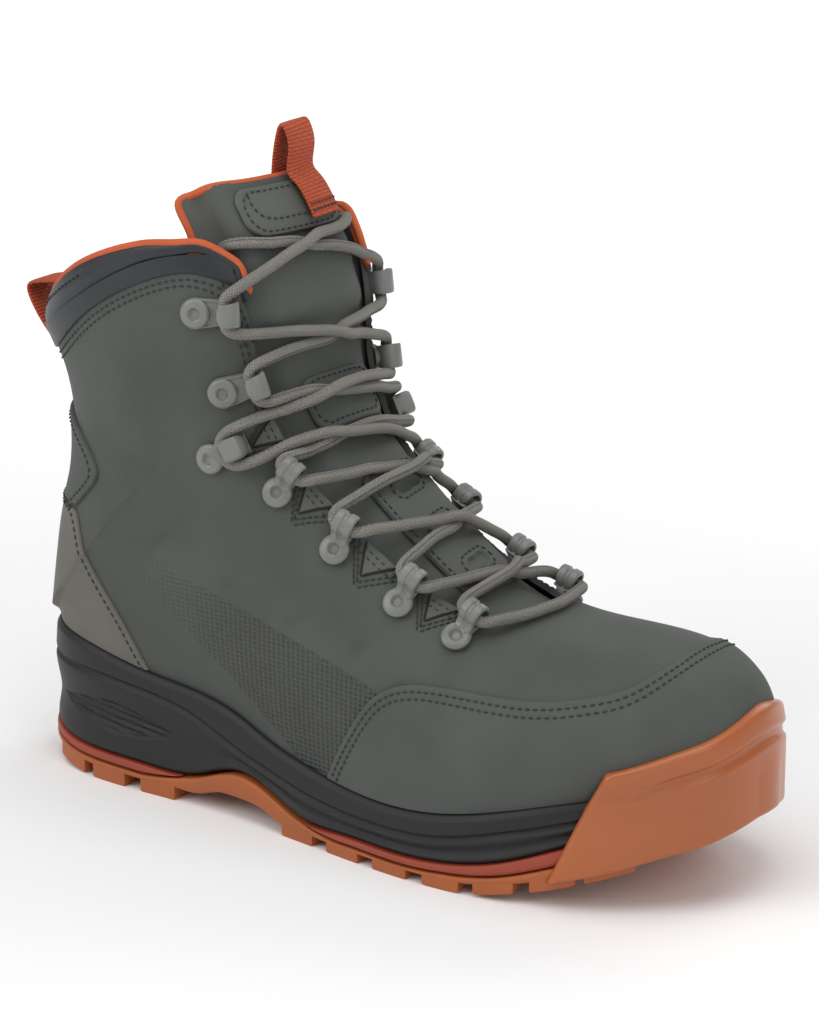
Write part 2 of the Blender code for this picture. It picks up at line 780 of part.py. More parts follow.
def overlay(skin, name, edge, corners, colour, keep):
    obj = skin.shell(name, GAP + OVERLAY, GAP, colour, keep=keep, skirt=False)
    return boolean(obj, side_prism(name + "_cutter", edge, corners), "INTERSECT")


def strip_normals(grid):
    grid = np.asarray(grid)
    du, dv = np.gradient(grid, axis=0), np.gradient(grid, axis=1)
    normal = np.cross(dv, du)
    return normal / np.linalg.norm(normal, axis=2, keepdims=True)


def ridge_strip(rows, half, columns):
    # Grid over the ridge: from the outer side (first column) to the inner side
    grid = []
    for at in rows:
        width = half(at)
        lines = {side: section_line(at, side, 40) for side in (LATERAL, MEDIAL)}
        line = []
        for share in np.linspace(-1, 1, columns):
            spots, _ = along_line(lines[LATERAL if share < 0 else MEDIAL], [abs(share) * width])
            line.append(spots[0])
        grid.append(line)
    grid = np.asarray(grid)
    return grid, strip_normals(grid)


def strip_solid(name, grid, normals, top, bottom, colour):
    # Solid between two offsets of a grid; both offsets are functions of row and column shares
    rows, columns = grid.shape[:2]
    shares = [(i / (rows - 1), 2 * j / (columns - 1) - 1) for i in range(rows) for j in range(columns)]
    flat, out = grid.reshape(-1, 3), normals.reshape(-1, 3)
    upper = [p + n * top(*s) for p, n, s in zip(flat, out, shares)]
    lower = [p + n * bottom(*s) for p, n, s in zip(flat, out, shares)]
    size = rows * columns
    faces = []
    for i in range(rows - 1):
        for j in range(columns - 1):
            a = i * columns + j
            faces.append([a, a + 1, a + columns + 1, a + columns])
            faces.append([size + a, size + a + columns, size + a + columns + 1, size + a + 1])
    ring = list(range(columns)) + [i * columns + columns - 1 for i in range(1, rows)]
    ring += [(rows - 1) * columns + j for j in range(columns - 2, -1, -1)] + [i * columns for i in range(rows - 2, 0, -1)]
    for m, a in enumerate(ring):
        b = ring[m - 1]
        faces.append([a, b, b + size, a + size])
    return make(name, upper + lower, faces, colour)


TONGUE_FROM, TONGUE_TO = 0.335, 2.47
TONGUE_ROWS = np.concatenate(
    [np.linspace(TONGUE_FROM, 1.0, 12), np.linspace(1.0, 2.0, 6)[1:], np.linspace(2.0, TONGUE_TO, 4)[1:]]
)


def tongue_half(at):
    base = throat_half(max(at, THROAT_AT + THROAT_ROUND)) if at < 2 else throat_at(2.0)[0] * BALL_WIDTH
    edge = 0.0055 + 0.0025 * smooth((at - 0.4) / 0.4)
    if at > 2:
        end = (at - 2.0) / (TONGUE_TO - 2.0)
        return (base + edge) * math.sqrt(max(1 - 0.16 * end**4, 0))
    return base + edge


def tongue_depth(at, share):
    # How far under the upper's outer surface the tongue's own outer surface lies
    under = -(WALL + GAP + 0.0016)
    if at <= THROAT_AT:
        return under
    gap = throat_half(min(at, 2.0)) / tongue_half(at)
    inside = smooth((gap - 0.10 - abs(share)) / 0.22)
    lift = 0.0020 * smooth((at - THROAT_AT - 0.03) / 0.1)
    beneath_cuff = (CUFF_THICKNESS - 0.001) * smooth((at - 1.72) / 0.2) * smooth((abs(share) - gap + 0.16) / 0.14)
    return under + lift * inside - beneath_cuff


def tongue_surface():
    grid, normals = ridge_strip(TONGUE_ROWS, tongue_half, 11)
    for i, at in enumerate(TONGUE_ROWS):
        for j in range(grid.shape[1]):
            share = 2 * j / (grid.shape[1] - 1) - 1
            grid[i, j] += normals[i, j] * tongue_depth(at, share)
    return grid, normals


def tongue(name="tongue"):
    grid, normals = tongue_surface()

    def thickness(row, share):
        ends = smooth(min(row, 1 - row) / 0.03)
        sides = smooth((1 - abs(share)) / 0.16)
        return -(0.0018 + (TONGUE_THICKNESS - 0.0018) * sides * (0.4 + 0.6 * ends))

    return strip_solid(name, grid, normals, lambda *s: 0.0, thickness, "grey_green")


def tongue_panel(name, low, high, half, middle=0.0):
    # Overlay panel on the tongue, between two sections
    rows = np.linspace(low, high, 6)
    columns = 7
    grid, normals = ridge_strip(rows, lambda at: half, columns)
    for i, at in enumerate(rows):
        for j in range(columns):
            share = 2 * j / (columns - 1) - 1
            own = share * half / tongue_half(at)
            grid[i, j] += normals[i, j] * (tongue_depth(at, own) + 4 * GAP)
    return strip_solid(name, grid, normals, lambda *s: TONGUE_PANEL, lambda *s: 0.0, "grey_green")


def cuff():
    # Padded roll standing on the collar edge, from one throat edge round the back to the other
    loops, count = [], 10
    rings = []
    for side in (LATERAL, MEDIAL):
        line = section_line(2.0, side, 40)
        gap = throat_half(2.0) + 0.0008
        length = np.linalg.norm(np.diff(line, axis=0), axis=1).sum()
        spots, _ = along_line(line, np.linspace(gap, length, 13))
        rings.append(spots)
    path = np.concatenate([rings[0], rings[1][::-1][1:]])
    total = len(path)
    for k, point in enumerate(path):
        ahead, behind = path[min(k + 1, total - 1)], path[max(k - 1, 0)]
        forward = (ahead - behind) / np.linalg.norm(ahead - behind)
        up = np.array([0, 0, 1.0])
        up -= forward * np.dot(up, forward)
        up /= np.linalg.norm(up)
        out = np.cross(up, forward)
        ends = min(k, total - 1 - k) / (total - 1)
        full = 0.62 + 0.38 * smooth(ends / 0.10)
        high = CUFF_HEIGHT * full
        thick = CUFF_THICKNESS * (0.7 + 0.3 * smooth(ends / 0.08))
        centre = point + up * (high / 2 + 4.5 * GAP) - out * (thick / 2 - 0.0010)
        loop = []
        for m in range(count):
            a = 2 * math.pi * m / count
            cos, sin = math.cos(a), math.sin(a)
            flat = abs(cos) ** 0.75 * math.copysign(1, cos) if abs(cos) > 1e-9 else 0.0
            loop.append(centre + out * thick / 2 * flat + up * high / 2 * math.copysign(abs(sin) ** 0.8, sin))
        loops.append(loop)
    return loft("collar_cuff", loops, "black")


def tube(name, path, radius, colour, sides=8):
    path = [np.asarray(p, float) for p in path]
    loops, out = [], None
    for k, point in enumerate(path):
        forward = path[min(k + 1, len(path) - 1)] - path[max(k - 1, 0)]
        forward /= np.linalg.norm(forward)
        if out is None:
            out = np.cross(forward, (0, 0, 1.0))
        out = out - forward * np.dot(out, forward)
        out /= np.linalg.norm(out)
        side = np.cross(forward, out)
        loops.append([point + radius * (math.cos(a) * out + math.sin(a) * side) for a in np.arange(sides) * 2 * math.pi / sides])
    return loft(name, loops, colour)


def curve_through(points, count):
    path = spline([(k, *p) for k, p in enumerate(points)])
    return [path(t) for t in np.linspace(0, len(points) - 1, count)]


def webbing(name, path, normals_side, width, thickness, colour):
    # Flat band along a path; the side vector is its width direction
    loops = []
    for k, point in enumerate(path):
        forward = path[min(k + 1, len(path) - 1)] - path[max(k - 1, 0)]
        forward = forward / np.linalg.norm(forward)
        side = normals_side - forward * np.dot(normals_side, forward)
        side /= np.linalg.norm(side)
        out = np.cross(side, forward)
        loops.append([point + side * width / 2 * a + out * thickness / 2 * b for a, b in ((-1, -1), (1, -1), (1, 1), (-1, 1))])
    return loft(name, loops, colour)


class Hardware:
    # Rivet base with a strip that turns into a ring (eyelet) or an open hook for the lace
    def __init__(self, skin, row, side, kind):
        name, rivet_at, rivet_back, ring_at, ring_back, *inner = row
        up, back = inner if side == MEDIAL else (0.0, 0.0)
        rivet, normal = skin.spot(rivet_at + up, rivet_back + back, side)
        ring, _ = skin.spot(ring_at + up, ring_back + back, side)
        self.normal = normal if np.dot(normal, (0, side, 0)) > 0 else -normal
        reach = ring - rivet
        drop = np.dot(reach, self.normal)
        reach -= self.normal * drop
        self.reach_length = EYELET_REACH if kind == "eyelet" else HOOK_REACH
        self.reach = reach / np.linalg.norm(reach)
        self.across = np.cross(self.normal, self.reach)
        self.rivet = rivet
        self.kind = kind
        self.side = side
        self.in_front = kind == "hook" and name == "3"
        self.name = f"{kind}_{'lateral' if side < 0 else 'medial'}_{name}"
        self.width = EYELET_WIDTH if kind == "eyelet" else HOOK_WIDTH
        self.slope = 0.85 * drop / np.linalg.norm(reach)
        self.lift = 3 * GAP + max(self.height(skin, a, b) - self.slope * max(a, 0) for a, b in self.footprint())
        self.centre = self.place(self.reach_length, 0.0, self.lift + self.slope * self.reach_length + RING_INNER + RING_WALL)

    def footprint(self):
        alongs = np.linspace(-BASE_RADIUS, self.reach_length + 0.002, 9)
        return [(a, b) for a in alongs for b in np.linspace(-0.5, 0.5, 5) * 2 * BASE_RADIUS]

    def height(self, skin, a, b):
        # The upper's height over the rivet's tangent plane
        hit = skin.tree.ray_cast(Vector(self.place(a, b, 0.02)), Vector(-self.normal), 0.03)[0]
        return -0.01 if hit is None else float(np.dot(np.array(hit) - self.rivet, self.normal))

    def place(self, along, across, out):
        return self.rivet + self.reach * along + self.across * across + self.normal * out

    def build(self):
        low, high = self.lift, self.lift + BASE_THICKNESS
        round_end = [(BASE_RADIUS * math.cos(a), BASE_RADIUS * math.sin(a)) for a in np.linspace(math.pi / 2, 1.5 * math.pi, 7)]
        half = self.width / 2
        far = self.reach_length + 0.001
        plan = round_end + [(far, -half), (far, half)]
        loops = [[self.place(a, b, z + self.slope * max(a, 0)) for a, b in plan] for z in (low, high)]
        base = loft(self.name, loops, "hardware")
        ring = [STEM_RADIUS * np.array([math.cos(a), math.sin(a)]) for a in np.radians(range(0, 360, 60))]
        stem = loft("stem", [[self.place(a, b, z) for a, b in ring] for z in (1.6 * GAP, low + 0.0006)], "hardware")
        boolean(base, stem, "UNION")
        start, stop = (-90, 270) if self.kind == "eyelet" else (-95, 125)
        steps = 10 if self.kind == "eyelet" else 7
        angles = np.radians(np.linspace(start, stop, steps + 1))
        outer, inner = RING_INNER + RING_WALL, RING_INNER
        loops = []
        for a in angles[: -1 if self.kind == "eyelet" else None]:
            arm = self.reach * math.cos(a) + self.normal * math.sin(a)
            loops.append([self.centre + arm * r + self.across * b * half for r, b in ((inner, -1), (outer, -1), (outer, 1), (inner, 1))])
        if self.kind == "eyelet":
            ring = loft("ring", loops + [loops[0]], "hardware", closed_ends=False)
        else:
            ring = loft("ring", loops, "hardware")
        return boolean(base, ring, "UNION")

    def mouth(self, way):
        # Where a lace ends beside the ring, and the way it leaves: way +1 or -1 picks the side.
        # The lowest hook holds its lace in front.
        if self.in_front:
            out = RING_INNER + RING_WALL + 1.1 * LACE_RADIUS + 2 * GAP
            return self.centre + self.reach * out + self.across * way * (LACE_RADIUS + 2 * GAP), self.reach
        steep = self.name in STEEP_LACES
        beside = self.width / 2 + (0.99 if steep else 0.93) * LACE_RADIUS + GAP
        lean, behind = (0.39, 0.0015) if steep else (0.28, 0.0030)
        leave = math.sqrt(1 - lean**2) * self.reach + lean * way * self.across
        return self.centre + self.across * way * beside - self.reach * behind, leave


def taut(surface, start, lead_in, lead_out, end, count=11):
    # A strand pulled tight from one ring to the next over tongue and throat edges
    ends = [start, start + lead_in, end + lead_out, end]
    out = np.array([0.80, 0.0, 0.60])
    path = [ends[0]]
    middle = [ends[1] + (ends[2] - ends[1]) * t for t in np.linspace(0, 1, count - 2)]
    for point in middle:
        for _ in range(4 if 0 < len(path) - 1 < count - 3 else 0):
            hit = np.array(surface.find_nearest(Vector(point))[0])
            away = point - hit
            distance = np.linalg.norm(away)
            if np.dot(away, out) < 0:
                point = hit + out * LACE_CLEAR
            elif distance < LACE_CLEAR:
                point = hit + away / distance * LACE_CLEAR
        path.append(point)
    path.append(ends[3])
    for _ in range(3):
        for k in range(2, len(path) - 2):
            chord = (path[k - 1] + path[k + 1]) / 2
            if np.dot(chord - path[k], out) > 0:
                path[k] = chord
    for _ in range(5):
        for k in range(len(path) - 1):
            for share in (0.25, 0.5, 0.75):
                spot = path[k] + (path[k + 1] - path[k]) * share
                away = spot - np.array(surface.find_nearest(Vector(spot))[0])
                distance = np.linalg.norm(away)
                short = LACE_RADIUS + 5 * GAP - distance
                for m in (k, k + 1):
                    if short > 0 and 1 < m < len(path) - 2:
                        path[m] = path[m] + away / distance * short
    return path


def strand(surface, first, way_first, last, way_last):
    (start, leave), (end, arrive) = first.mouth(way_first), last.mouth(way_last)
    return taut(surface, start, leave * LACE_LEAD, arrive * LACE_LEAD, end)


def crossing(name, paths):
    # Strands that cross, as one body
    obj = tube(name, paths[0], LACE_RADIUS, "lace", sides=6)
    for path in paths[1:]:
        boolean(obj, tube("strand", path, LACE_RADIUS, "lace", sides=6), "UNION")
    return obj


def tree_of(objects):
    bm = bmesh.new()
    for obj in objects:
        bm.from_mesh(obj.data)
    tree = BVHTree.FromBMesh(bm)
    bm.free()
    return tree


def tongue_spot(at, share, out):
    # Point this far out from the tongue's own face
    grid, normals = ridge_strip([at - 0.01, at, at + 0.01], tongue_half, 41)
    j = round((share + 1) * 20)
    return grid[1, j] + normals[1, j] * (tongue_depth(at, share) + out)


def pull_loops():
    # Webbing folded over at the top, its legs in front of the tongue and behind it
    across = np.array([0.0, 1.0, 0.0])
    off = TONGUE_PANEL + 8 * GAP + WEBBING_THICKNESS / 2
    share = TONGUE_LOOP_SIDE
    path = [tongue_spot(at, share, off) for at in (2.18, 2.28, 2.38, 2.46)]
    top, back = path[-1], tongue_spot(2.42, share, -TONGUE_THICKNESS - 6 * GAP - WEBBING_THICKNESS)
    rise = np.array([0.0, 0.0, TONGUE_LOOP_RISE])
    path += [top + 0.5 * rise + (0.0008, 0, 0), top + 0.93 * rise - (0.0008, 0, 0), top + rise - (0.0042, 0, 0)]
    path += [back + (0.0, 0.0, 0.012), back]
    webbing("tongue_pull_loop", curve_through(path, 14), across, WEBBING_WIDTH, WEBBING_THICKNESS, "orange")

    # Webbing over the back of the cuff
    foot = section_line(2.0, LATERAL)[0]
    clear = WEBBING_THICKNESS / 2 + 4 * GAP
    path = [foot + (0.0030 - clear, 0, -0.0105), foot + (-0.0004 - clear, 0, 0.0), foot + (-0.0016 - clear, 0, 0.0085)]
    path += [foot + (0.0010 - clear, 0, CUFF_HEIGHT + 0.0020), foot + (0.0050, 0, CUFF_HEIGHT + 0.0034)]
    path += [foot + (CUFF_THICKNESS, 0, CUFF_HEIGHT + 0.0016)]
    webbing("heel_pull_loop", curve_through(path, 11), across, WEBBING_WIDTH, WEBBING_THICKNESS, "orange")


def centre_on_footprint():
    # The origin ends under the middle of the whole boot's box, on the ground
    points = np.array([vertex.co for obj in bpy.data.objects for vertex in obj.data.vertices])
    low, high = points.min(axis=0), points.max(axis=0)
    middle = Vector((*(low + high)[:2] / 2, low[2]))
    for obj in bpy.data.objects:
        for vertex in obj.data.vertices:
            vertex.co -= middle


def main():
    for old in list(bpy.data.objects):
        bpy.data.objects.remove(old)
    skin = Skin()
    skin.build_tree()

    # Sole unit
    whole = station_angles()
    midsole = sole_piece("midsole", whole, midsole_profile, "foam")
    boolean(midsole, bumper(skin, "bumper_cutter", grow=3 * GAP), "DIFFERENCE")
    sole_piece("heel_band", station_angles(0.0, HEEL_BAND_END), band_profile, "red")
    band = sole_piece("forefoot_band", station_angles(*FOREFOOT_BAND), band_profile, "red")
    boolean(band, bumper(skin, "bumper_cutter", grow=2.5 * GAP), "DIFFERENCE")
    outsole = sole_piece("outsole", whole, outsole_profile, "gum")
    boolean(outsole, joined(lugs()), "UNION")
    boolean(outsole, bumper(skin, "bumper"), "UNION")
    sole_piece("insole", station_angles()[::2], insole_profile, "lining")

    # Upper and what is cut from its surface
    upper = skin.shell("upper", 0.0, -WALL, "grey_green")
    toe_cap = overlay(skin, "toe_cap", TOE_CAP_EDGE, TOE_CAP_CORNERS, "grey_green", lambda at: at < 0.62)
    boolean(toe_cap, bumper(skin, "bumper_cutter", grow=2 * GAP, deep=0.008), "DIFFERENCE")
    overlay(skin, "heel_counter", HEEL_COUNTER_EDGE, HEEL_COUNTER_CORNERS, "taupe", lambda at: 0.55 < at < 1.7)
    overlay(skin, "heel_tab", HEEL_TAB_EDGE, HEEL_TAB_CORNERS, "grey_green", lambda at: 1.0 <= at <= 2.0)
    cuff()
    body = tongue()
    for name, low, high, half in TONGUE_PANELS:
        tongue_panel("tongue_panel_" + name, low, high, half)

    # Pull loops
    pull_loops()

    # Hardware and lace
    under = [upper, body, *[bpy.data.objects["tongue_panel_" + row[0]] for row in TONGUE_PANELS]]
    parts, solids = {}, {}
    for rows, kind in ((EYELETS, "eyelet"), (HOOKS, "hook")):
        for row in rows:
            for side in (LATERAL, MEDIAL):
                piece = Hardware(skin, row, side, kind)
                solids[piece] = piece.build()
                parts[kind + row[0], side] = piece
    ladder = ["eyelet4", "eyelet3", "eyelet2", "eyelet1", "hook3", "hook2", "hook1"]
    up = {key: 1 if piece.across[2] > 0 else -1 for key, piece in parts.items()}
    low_pair = parts["eyelet4", LATERAL], parts["eyelet4", MEDIAL]
    clear_of = lambda *ends: tree_of(under + [solid for piece, solid in solids.items() if piece not in ends])
    surface = clear_of(*low_pair)
    crossing("lace_bar", [strand(surface, low_pair[0], -up["eyelet4", LATERAL], low_pair[1], -up["eyelet4", MEDIAL])])
    for below, above in zip(ladder, ladder[1:]):
        paths = []
        for side in (LATERAL, MEDIAL):
            first, last = parts[below, side], parts[above, -side]
            paths.append(strand(clear_of(first, last), first, up[below, side], last, -up[above, -side]))
        crossing(f"lace_cross_{below}_{above}", paths)
    paths = []
    for side in (LATERAL, MEDIAL):
        first = parts["hook1", side]
        (start, leave) = first.mouth(up["hook1", side])
        end = tongue_spot(TUCK_AT, -side * TUCK_SHARE, LACE_RADIUS + 3 * GAP)
        paths.append(taut(clear_of(first), start, leave * LACE_LEAD, np.array([0.0, 0.0, 0.001]), end))
    crossing("lace_top", paths)

    centre_on_footprint()


main()
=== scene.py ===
# Wading boot, right foot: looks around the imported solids. Toe to +X, outer side to -Y.
import math

import bmesh
import bpy
import numpy as np
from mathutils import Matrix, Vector
from mathutils.bvhtree import BVHTree
from mathutils.kdtree import KDTree


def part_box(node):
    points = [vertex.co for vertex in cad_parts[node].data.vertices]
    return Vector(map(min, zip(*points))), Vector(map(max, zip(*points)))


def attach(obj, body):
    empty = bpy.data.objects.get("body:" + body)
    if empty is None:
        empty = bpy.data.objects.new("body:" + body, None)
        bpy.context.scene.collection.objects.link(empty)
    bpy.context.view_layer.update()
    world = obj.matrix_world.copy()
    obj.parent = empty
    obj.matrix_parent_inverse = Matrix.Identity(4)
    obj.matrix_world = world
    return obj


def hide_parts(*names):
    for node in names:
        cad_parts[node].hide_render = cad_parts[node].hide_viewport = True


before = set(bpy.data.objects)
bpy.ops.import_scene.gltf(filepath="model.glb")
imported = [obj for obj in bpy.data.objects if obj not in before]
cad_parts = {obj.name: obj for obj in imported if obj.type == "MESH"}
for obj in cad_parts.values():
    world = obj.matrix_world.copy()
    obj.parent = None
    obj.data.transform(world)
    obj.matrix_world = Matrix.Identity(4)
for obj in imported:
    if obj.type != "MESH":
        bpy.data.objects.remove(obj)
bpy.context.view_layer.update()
print("frame loaded:", len(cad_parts), "solids")

# The boot's own sizes: origin at the heel's back on the ground, as the sections below are given
boot = {
    "soleLength": 0.3255,
    "ballWidth": 0.116,
    "heelHeight": 0.052,
    "upperRise": 0.195,
    "wall": 0.0022,
    "flange": 0.0045,
    "tuck": 0.004,
    "gap": 0.0003,
    "throatAt": 0.375,
    "throatRound": 0.055,
    "swing": 0.13,
    "swingTop": 0.07,
    "collarBow": 0.062,
    "firstRow": 0.04,
    "origin": (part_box("outsole")[0].x, sum(corner.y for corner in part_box("heel_pull_loop")) / 2, 0.0),
}
lateral, medial = -1, 1
millimetre = 0.001

# Plan outline: shares of sole length, then of ball width on each side
outline = (
    # along, lateral, medial
    (0.000, 0.000, 0.000),
    (0.031, 0.207, 0.205),
    (0.077, 0.293, 0.290),
    (0.138, 0.332, 0.328),
    (0.215, 0.345, 0.330),
    (0.280, 0.353, 0.320),
    (0.353, 0.375, 0.311),
    (0.430, 0.409, 0.323),
    (0.507, 0.450, 0.362),
    (0.584, 0.488, 0.414),
    (0.660, 0.508, 0.457),
    (0.722, 0.505, 0.483),
    (0.784, 0.479, 0.488),
    (0.845, 0.419, 0.463),
    (0.906, 0.320, 0.400),
    (0.952, 0.190, 0.311),
    (1.000, -0.086, 0.086),
)

# Sole heights along the foot, as shares of the heel height
soleHeights = (
    # along, foam bottom, groove, feather, foot bed
    (0.000, 0.330, 0.885, 1.150, 0.700),
    (0.090, 0.255, 0.885, 1.120, 0.690),
    (0.200, 0.231, 0.830, 1.000, 0.660),
    (0.280, 0.250, 0.735, 0.940, 0.620),
    (0.350, 0.385, 0.570, 0.840, 0.570),
    (0.400, 0.327, 0.480, 0.715, 0.500),
    (0.455, 0.190, 0.400, 0.625, 0.430),
    (0.530, 0.178, 0.350, 0.550, 0.360),
    (0.600, 0.178, 0.345, 0.530, 0.340),
    (0.680, 0.205, 0.390, 0.580, 0.370),
    (0.755, 0.300, 0.510, 0.690, 0.460),
    (0.830, 0.470, 0.640, 0.810, 0.590),
    (0.900, 0.620, 0.760, 0.890, 0.720),
    (1.000, 0.760, 0.860, 0.960, 0.830),
)

# Thickness of the coloured bands under the foam, as shares of the heel height
bands = (
    # along, thickness
    (0.000, 0.077),
    (0.200, 0.077),
    (0.262, 0.012),
    (0.470, 0.012),
    (0.520, 0.060),
    (0.680, 0.070),
    (0.755, 0.100),
    (0.860, 0.130),
    (0.900, 0.012),
    (1.000, 0.012),
)

# Sections of the upper from toe (0) to heel corner (1), collar (2) and tongue top (2.5)
sections = (
    # at, ridge along, ridge up, ridge side, lateral, medial, widest, back round, front round
    (0.04, 0.9815, 0.099, 0.086, 0.00, 0.00, 0.02, 2.3, 2.0),
    (0.07, 0.9870, 0.150, 0.082, 0.08, 0.19, 0.05, 2.3, 2.0),
    (0.10, 0.9750, 0.225, 0.078, 0.16, 0.27, 0.12, 2.3, 2.1),
    (0.15, 0.9450, 0.283, 0.065, 0.24, 0.34, 0.22, 2.3, 2.2),
    (0.20, 0.9080, 0.308, 0.050, 0.335, 0.40, 0.28, 2.3, 2.3),
    (0.30, 0.8020, 0.323, 0.025, 0.460, 0.466, 0.30, 2.3, 2.4),
    (0.40, 0.6880, 0.356, 0.010, 0.480, 0.432, 0.30, 2.3, 2.3),
    (0.50, 0.5680, 0.477, 0.000, 0.425, 0.385, 0.36, 2.3, 2.3),
    (0.60, 0.4670, 0.620, 0.000, 0.390, 0.372, 0.46, 2.3, 2.6),
    (0.70, 0.4270, 0.703, 0.000, 0.380, 0.380, 0.55, 2.3, 2.9),
    (0.80, 0.4115, 0.759, 0.000, 0.383, 0.388, 0.60, 2.3, 3.0),
    (0.90, 0.4040, 0.800, 0.000, 0.386, 0.394, 0.62, 2.3, 3.1),
    (1.00, 0.4035, 0.826, 0.000, 0.388, 0.398, 0.62, 2.3, 3.1),
    (1.20, 0.4020, 0.857, 0.000, 0.391, 0.401, 0.60, 2.2, 3.1),
    (1.40, 0.4000, 0.888, 0.000, 0.394, 0.406, 0.57, 2.1, 3.1),
    (1.60, 0.3960, 0.921, 0.000, 0.400, 0.412, 0.54, 2.0, 3.1),
    (1.80, 0.3870, 0.959, 0.000, 0.405, 0.420, 0.52, 2.0, 3.1),
    (2.00, 0.3740, 1.000, 0.000, 0.410, 0.426, 0.50, 2.0, 3.1),
    (2.25, 0.3540, 1.072, 0.000, 0.410, 0.424, 0.50, 2.0, 3.1),
    (2.50, 0.3200, 1.149, 0.000, 0.405, 0.418, 0.50, 2.0, 3.1),
)

# Back line of the shaft from the heel corner up, then the throat's half width
backLine = (
    # at, along, up
    (1.00, 0.0138, 0.000),
    (1.20, 0.0270, 0.235),
    (1.40, 0.0430, 0.365),
    (1.60, 0.0450, 0.510),
    (1.80, 0.0320, 0.640),
    (2.00, 0.0090, 0.735),
    (2.50, -0.050, 0.950),
)
throatWidths = (
    # at, half width
    (0.375, 0.215),
    (0.42, 0.235),
    (0.50, 0.275),
    (0.60, 0.300),
    (0.80, 0.305),
    (1.00, 0.310),
    (2.00, 0.325),
)


def spline(rows):
    # Natural cubic through the rows' other columns, over their first one
    rows = np.asarray(rows, float)
    x, y = rows[:, 0], rows[:, 1:]
    h = np.diff(x)
    a, b = np.eye(len(x)), np.zeros_like(y)
    for i in range(1, len(x) - 1):
        a[i, i - 1 : i + 2] = h[i - 1], 2 * (h[i - 1] + h[i]), h[i]
        b[i] = 6 * ((y[i + 1] - y[i]) / h[i] - (y[i] - y[i - 1]) / h[i - 1])
    m = np.linalg.solve(a, b)

    def at(t):
        i = int(np.clip(np.searchsorted(x, t) - 1, 0, len(h) - 1))
        u, v = t - x[i], x[i + 1] - t
        bend = (m[i] * v**3 + m[i + 1] * u**3) / (6 * h[i])
        return bend + (y[i] / h[i] - m[i] * h[i] / 6) * v + (y[i + 1] / h[i] - m[i + 1] * h[i] / 6) * u

    return at


def smooth(share):
    share = np.clip(share, 0.0, 1.0)
    return share * share * (3 - 2 * share)


def unit(vectors):
    return vectors / np.maximum(np.linalg.norm(vectors, axis=-1, keepdims=True), 1e-12)


def evened(rows, turns):
    # Rows averaged with their neighbours, the two ends kept
    for _ in range(turns):
        rows[1:-1] = (rows[:-2] + 2 * rows[1:-1] + rows[2:]) / 4
    return rows


def runOf(path):
    # Length along the path up to each point
    return np.concatenate([[0], np.cumsum(np.linalg.norm(np.diff(path, axis=0), axis=1))])


outlineAt = spline([(math.acos(1 - 2 * a), lat, med) for a, lat, med in outline])
heightsAt = spline(soleHeights)
sectionAt = spline(sections)
backAt = spline(backLine)


def rim(angle, inset=0.0):
    # Sole outline in plan: 0 at the heel, pi at the toe by the outer side, then back by the inner side
    def point(t):
        side, t = (lateral, t) if t <= math.pi else (medial, 2 * math.pi - t)
        outer, inner = outlineAt(min(max(t, 0.0), math.pi)) * boot["ballWidth"]
        return np.array([boot["soleLength"] / 2 * (1 - math.cos(t)), -outer if side < 0 else inner])

    step = 0.012
    angle %= 2 * math.pi
    across = point((angle + step) % (2 * math.pi)) - point((angle - step) % (2 * math.pi))
    across /= np.linalg.norm(across)
    return point(angle) - inset * np.array([across[1], -across[0]])


def angleOf(x):
    return math.acos(1 - 2 * min(max(x / boot["soleLength"], 0.0), 1.0))


def soleHeight(x):
    # Foam bottom, groove, feather line and foot bed
    return heightsAt(min(max(x / boot["soleLength"], 0.0), 1.0)) * boot["heelHeight"]


def feather(x):
    return soleHeight(x)[2]


baseHeight = feather(0.69 * boot["soleLength"])


def sectionLine(at, side, count=26):
    # One side of the section: from feather or back seam to the ridge
    if at <= boot["firstRow"]:
        angles = math.pi * (1 - boot["firstRow"] * np.linspace(1, 0, 2 * count))
        spots = [rim(a if side < 0 else 2 * math.pi - a, boot["flange"]) for a in angles]
        return np.array([(x, y, feather(x)) for x, y in spots])
    along, up, centre, outer, inner, widest, back, front = sectionAt(at)
    ridge = np.array([along * boot["soleLength"], 0.0, baseHeight + up * boot["upperRise"]])
    middle = centre * boot["ballWidth"]
    start = 0.0
    if at <= 1:
        angle = math.pi * (1 - at)
        x, y = rim(angle if side < 0 else 2 * math.pi - angle, boot["flange"])
        foot = np.array([x, 0.0, feather(x)])
        start = max(side * (y - middle), 0.0)
        if at == 1:
            start, foot[0] = 0.0, boot["flange"]
    else:
        share, rise = backAt(at)
        low = feather(boot["flange"])
        foot = np.array(
            [share * boot["soleLength"], 0.0, low + rise * (baseHeight + boot["upperRise"] - low)]
        )
    wide = max((outer if side < 0 else inner) * boot["ballWidth"] - side * middle, start * 1.01)
    begin = 1 - (1 - (start / wide) ** back) ** (1 / back)
    a = np.linspace(math.acos((1 - begin) ** (back / 2)), math.pi / 2, count)
    b = np.linspace(0, math.pi / 2, count + 8)[1:]
    cosA, cosB = np.maximum(np.cos(a), 0), np.maximum(np.cos(b), 0)
    low = widest * (1 - cosA ** (2 / back) - begin) / (1 - begin)
    high = widest + (1 - widest) * np.sin(b) ** (2 / front)
    share = np.concatenate([low, high])
    width = wide * np.concatenate([np.sin(a) ** (2 / back), cosB ** (2 / front)])
    line = foot + (ridge - foot) * share[:, None]
    line[:, 1] = middle + side * width
    bow = boot["collarBow"] * boot["upperRise"] * min(max((at - 1.4) / 0.6, 0.0), 1.0) ** 1.5
    line[:, 2] += bow * 6.75 * share**2 * (1 - share)
    turn = boot["swing"] * min(max((at - 0.4) / 0.5, 0.0), 1.0) + boot["swingTop"] * smooth((at - 1.0) / 1.4)
    line[:, 0] += turn * (line[:, 1] - middle) * share
    return line


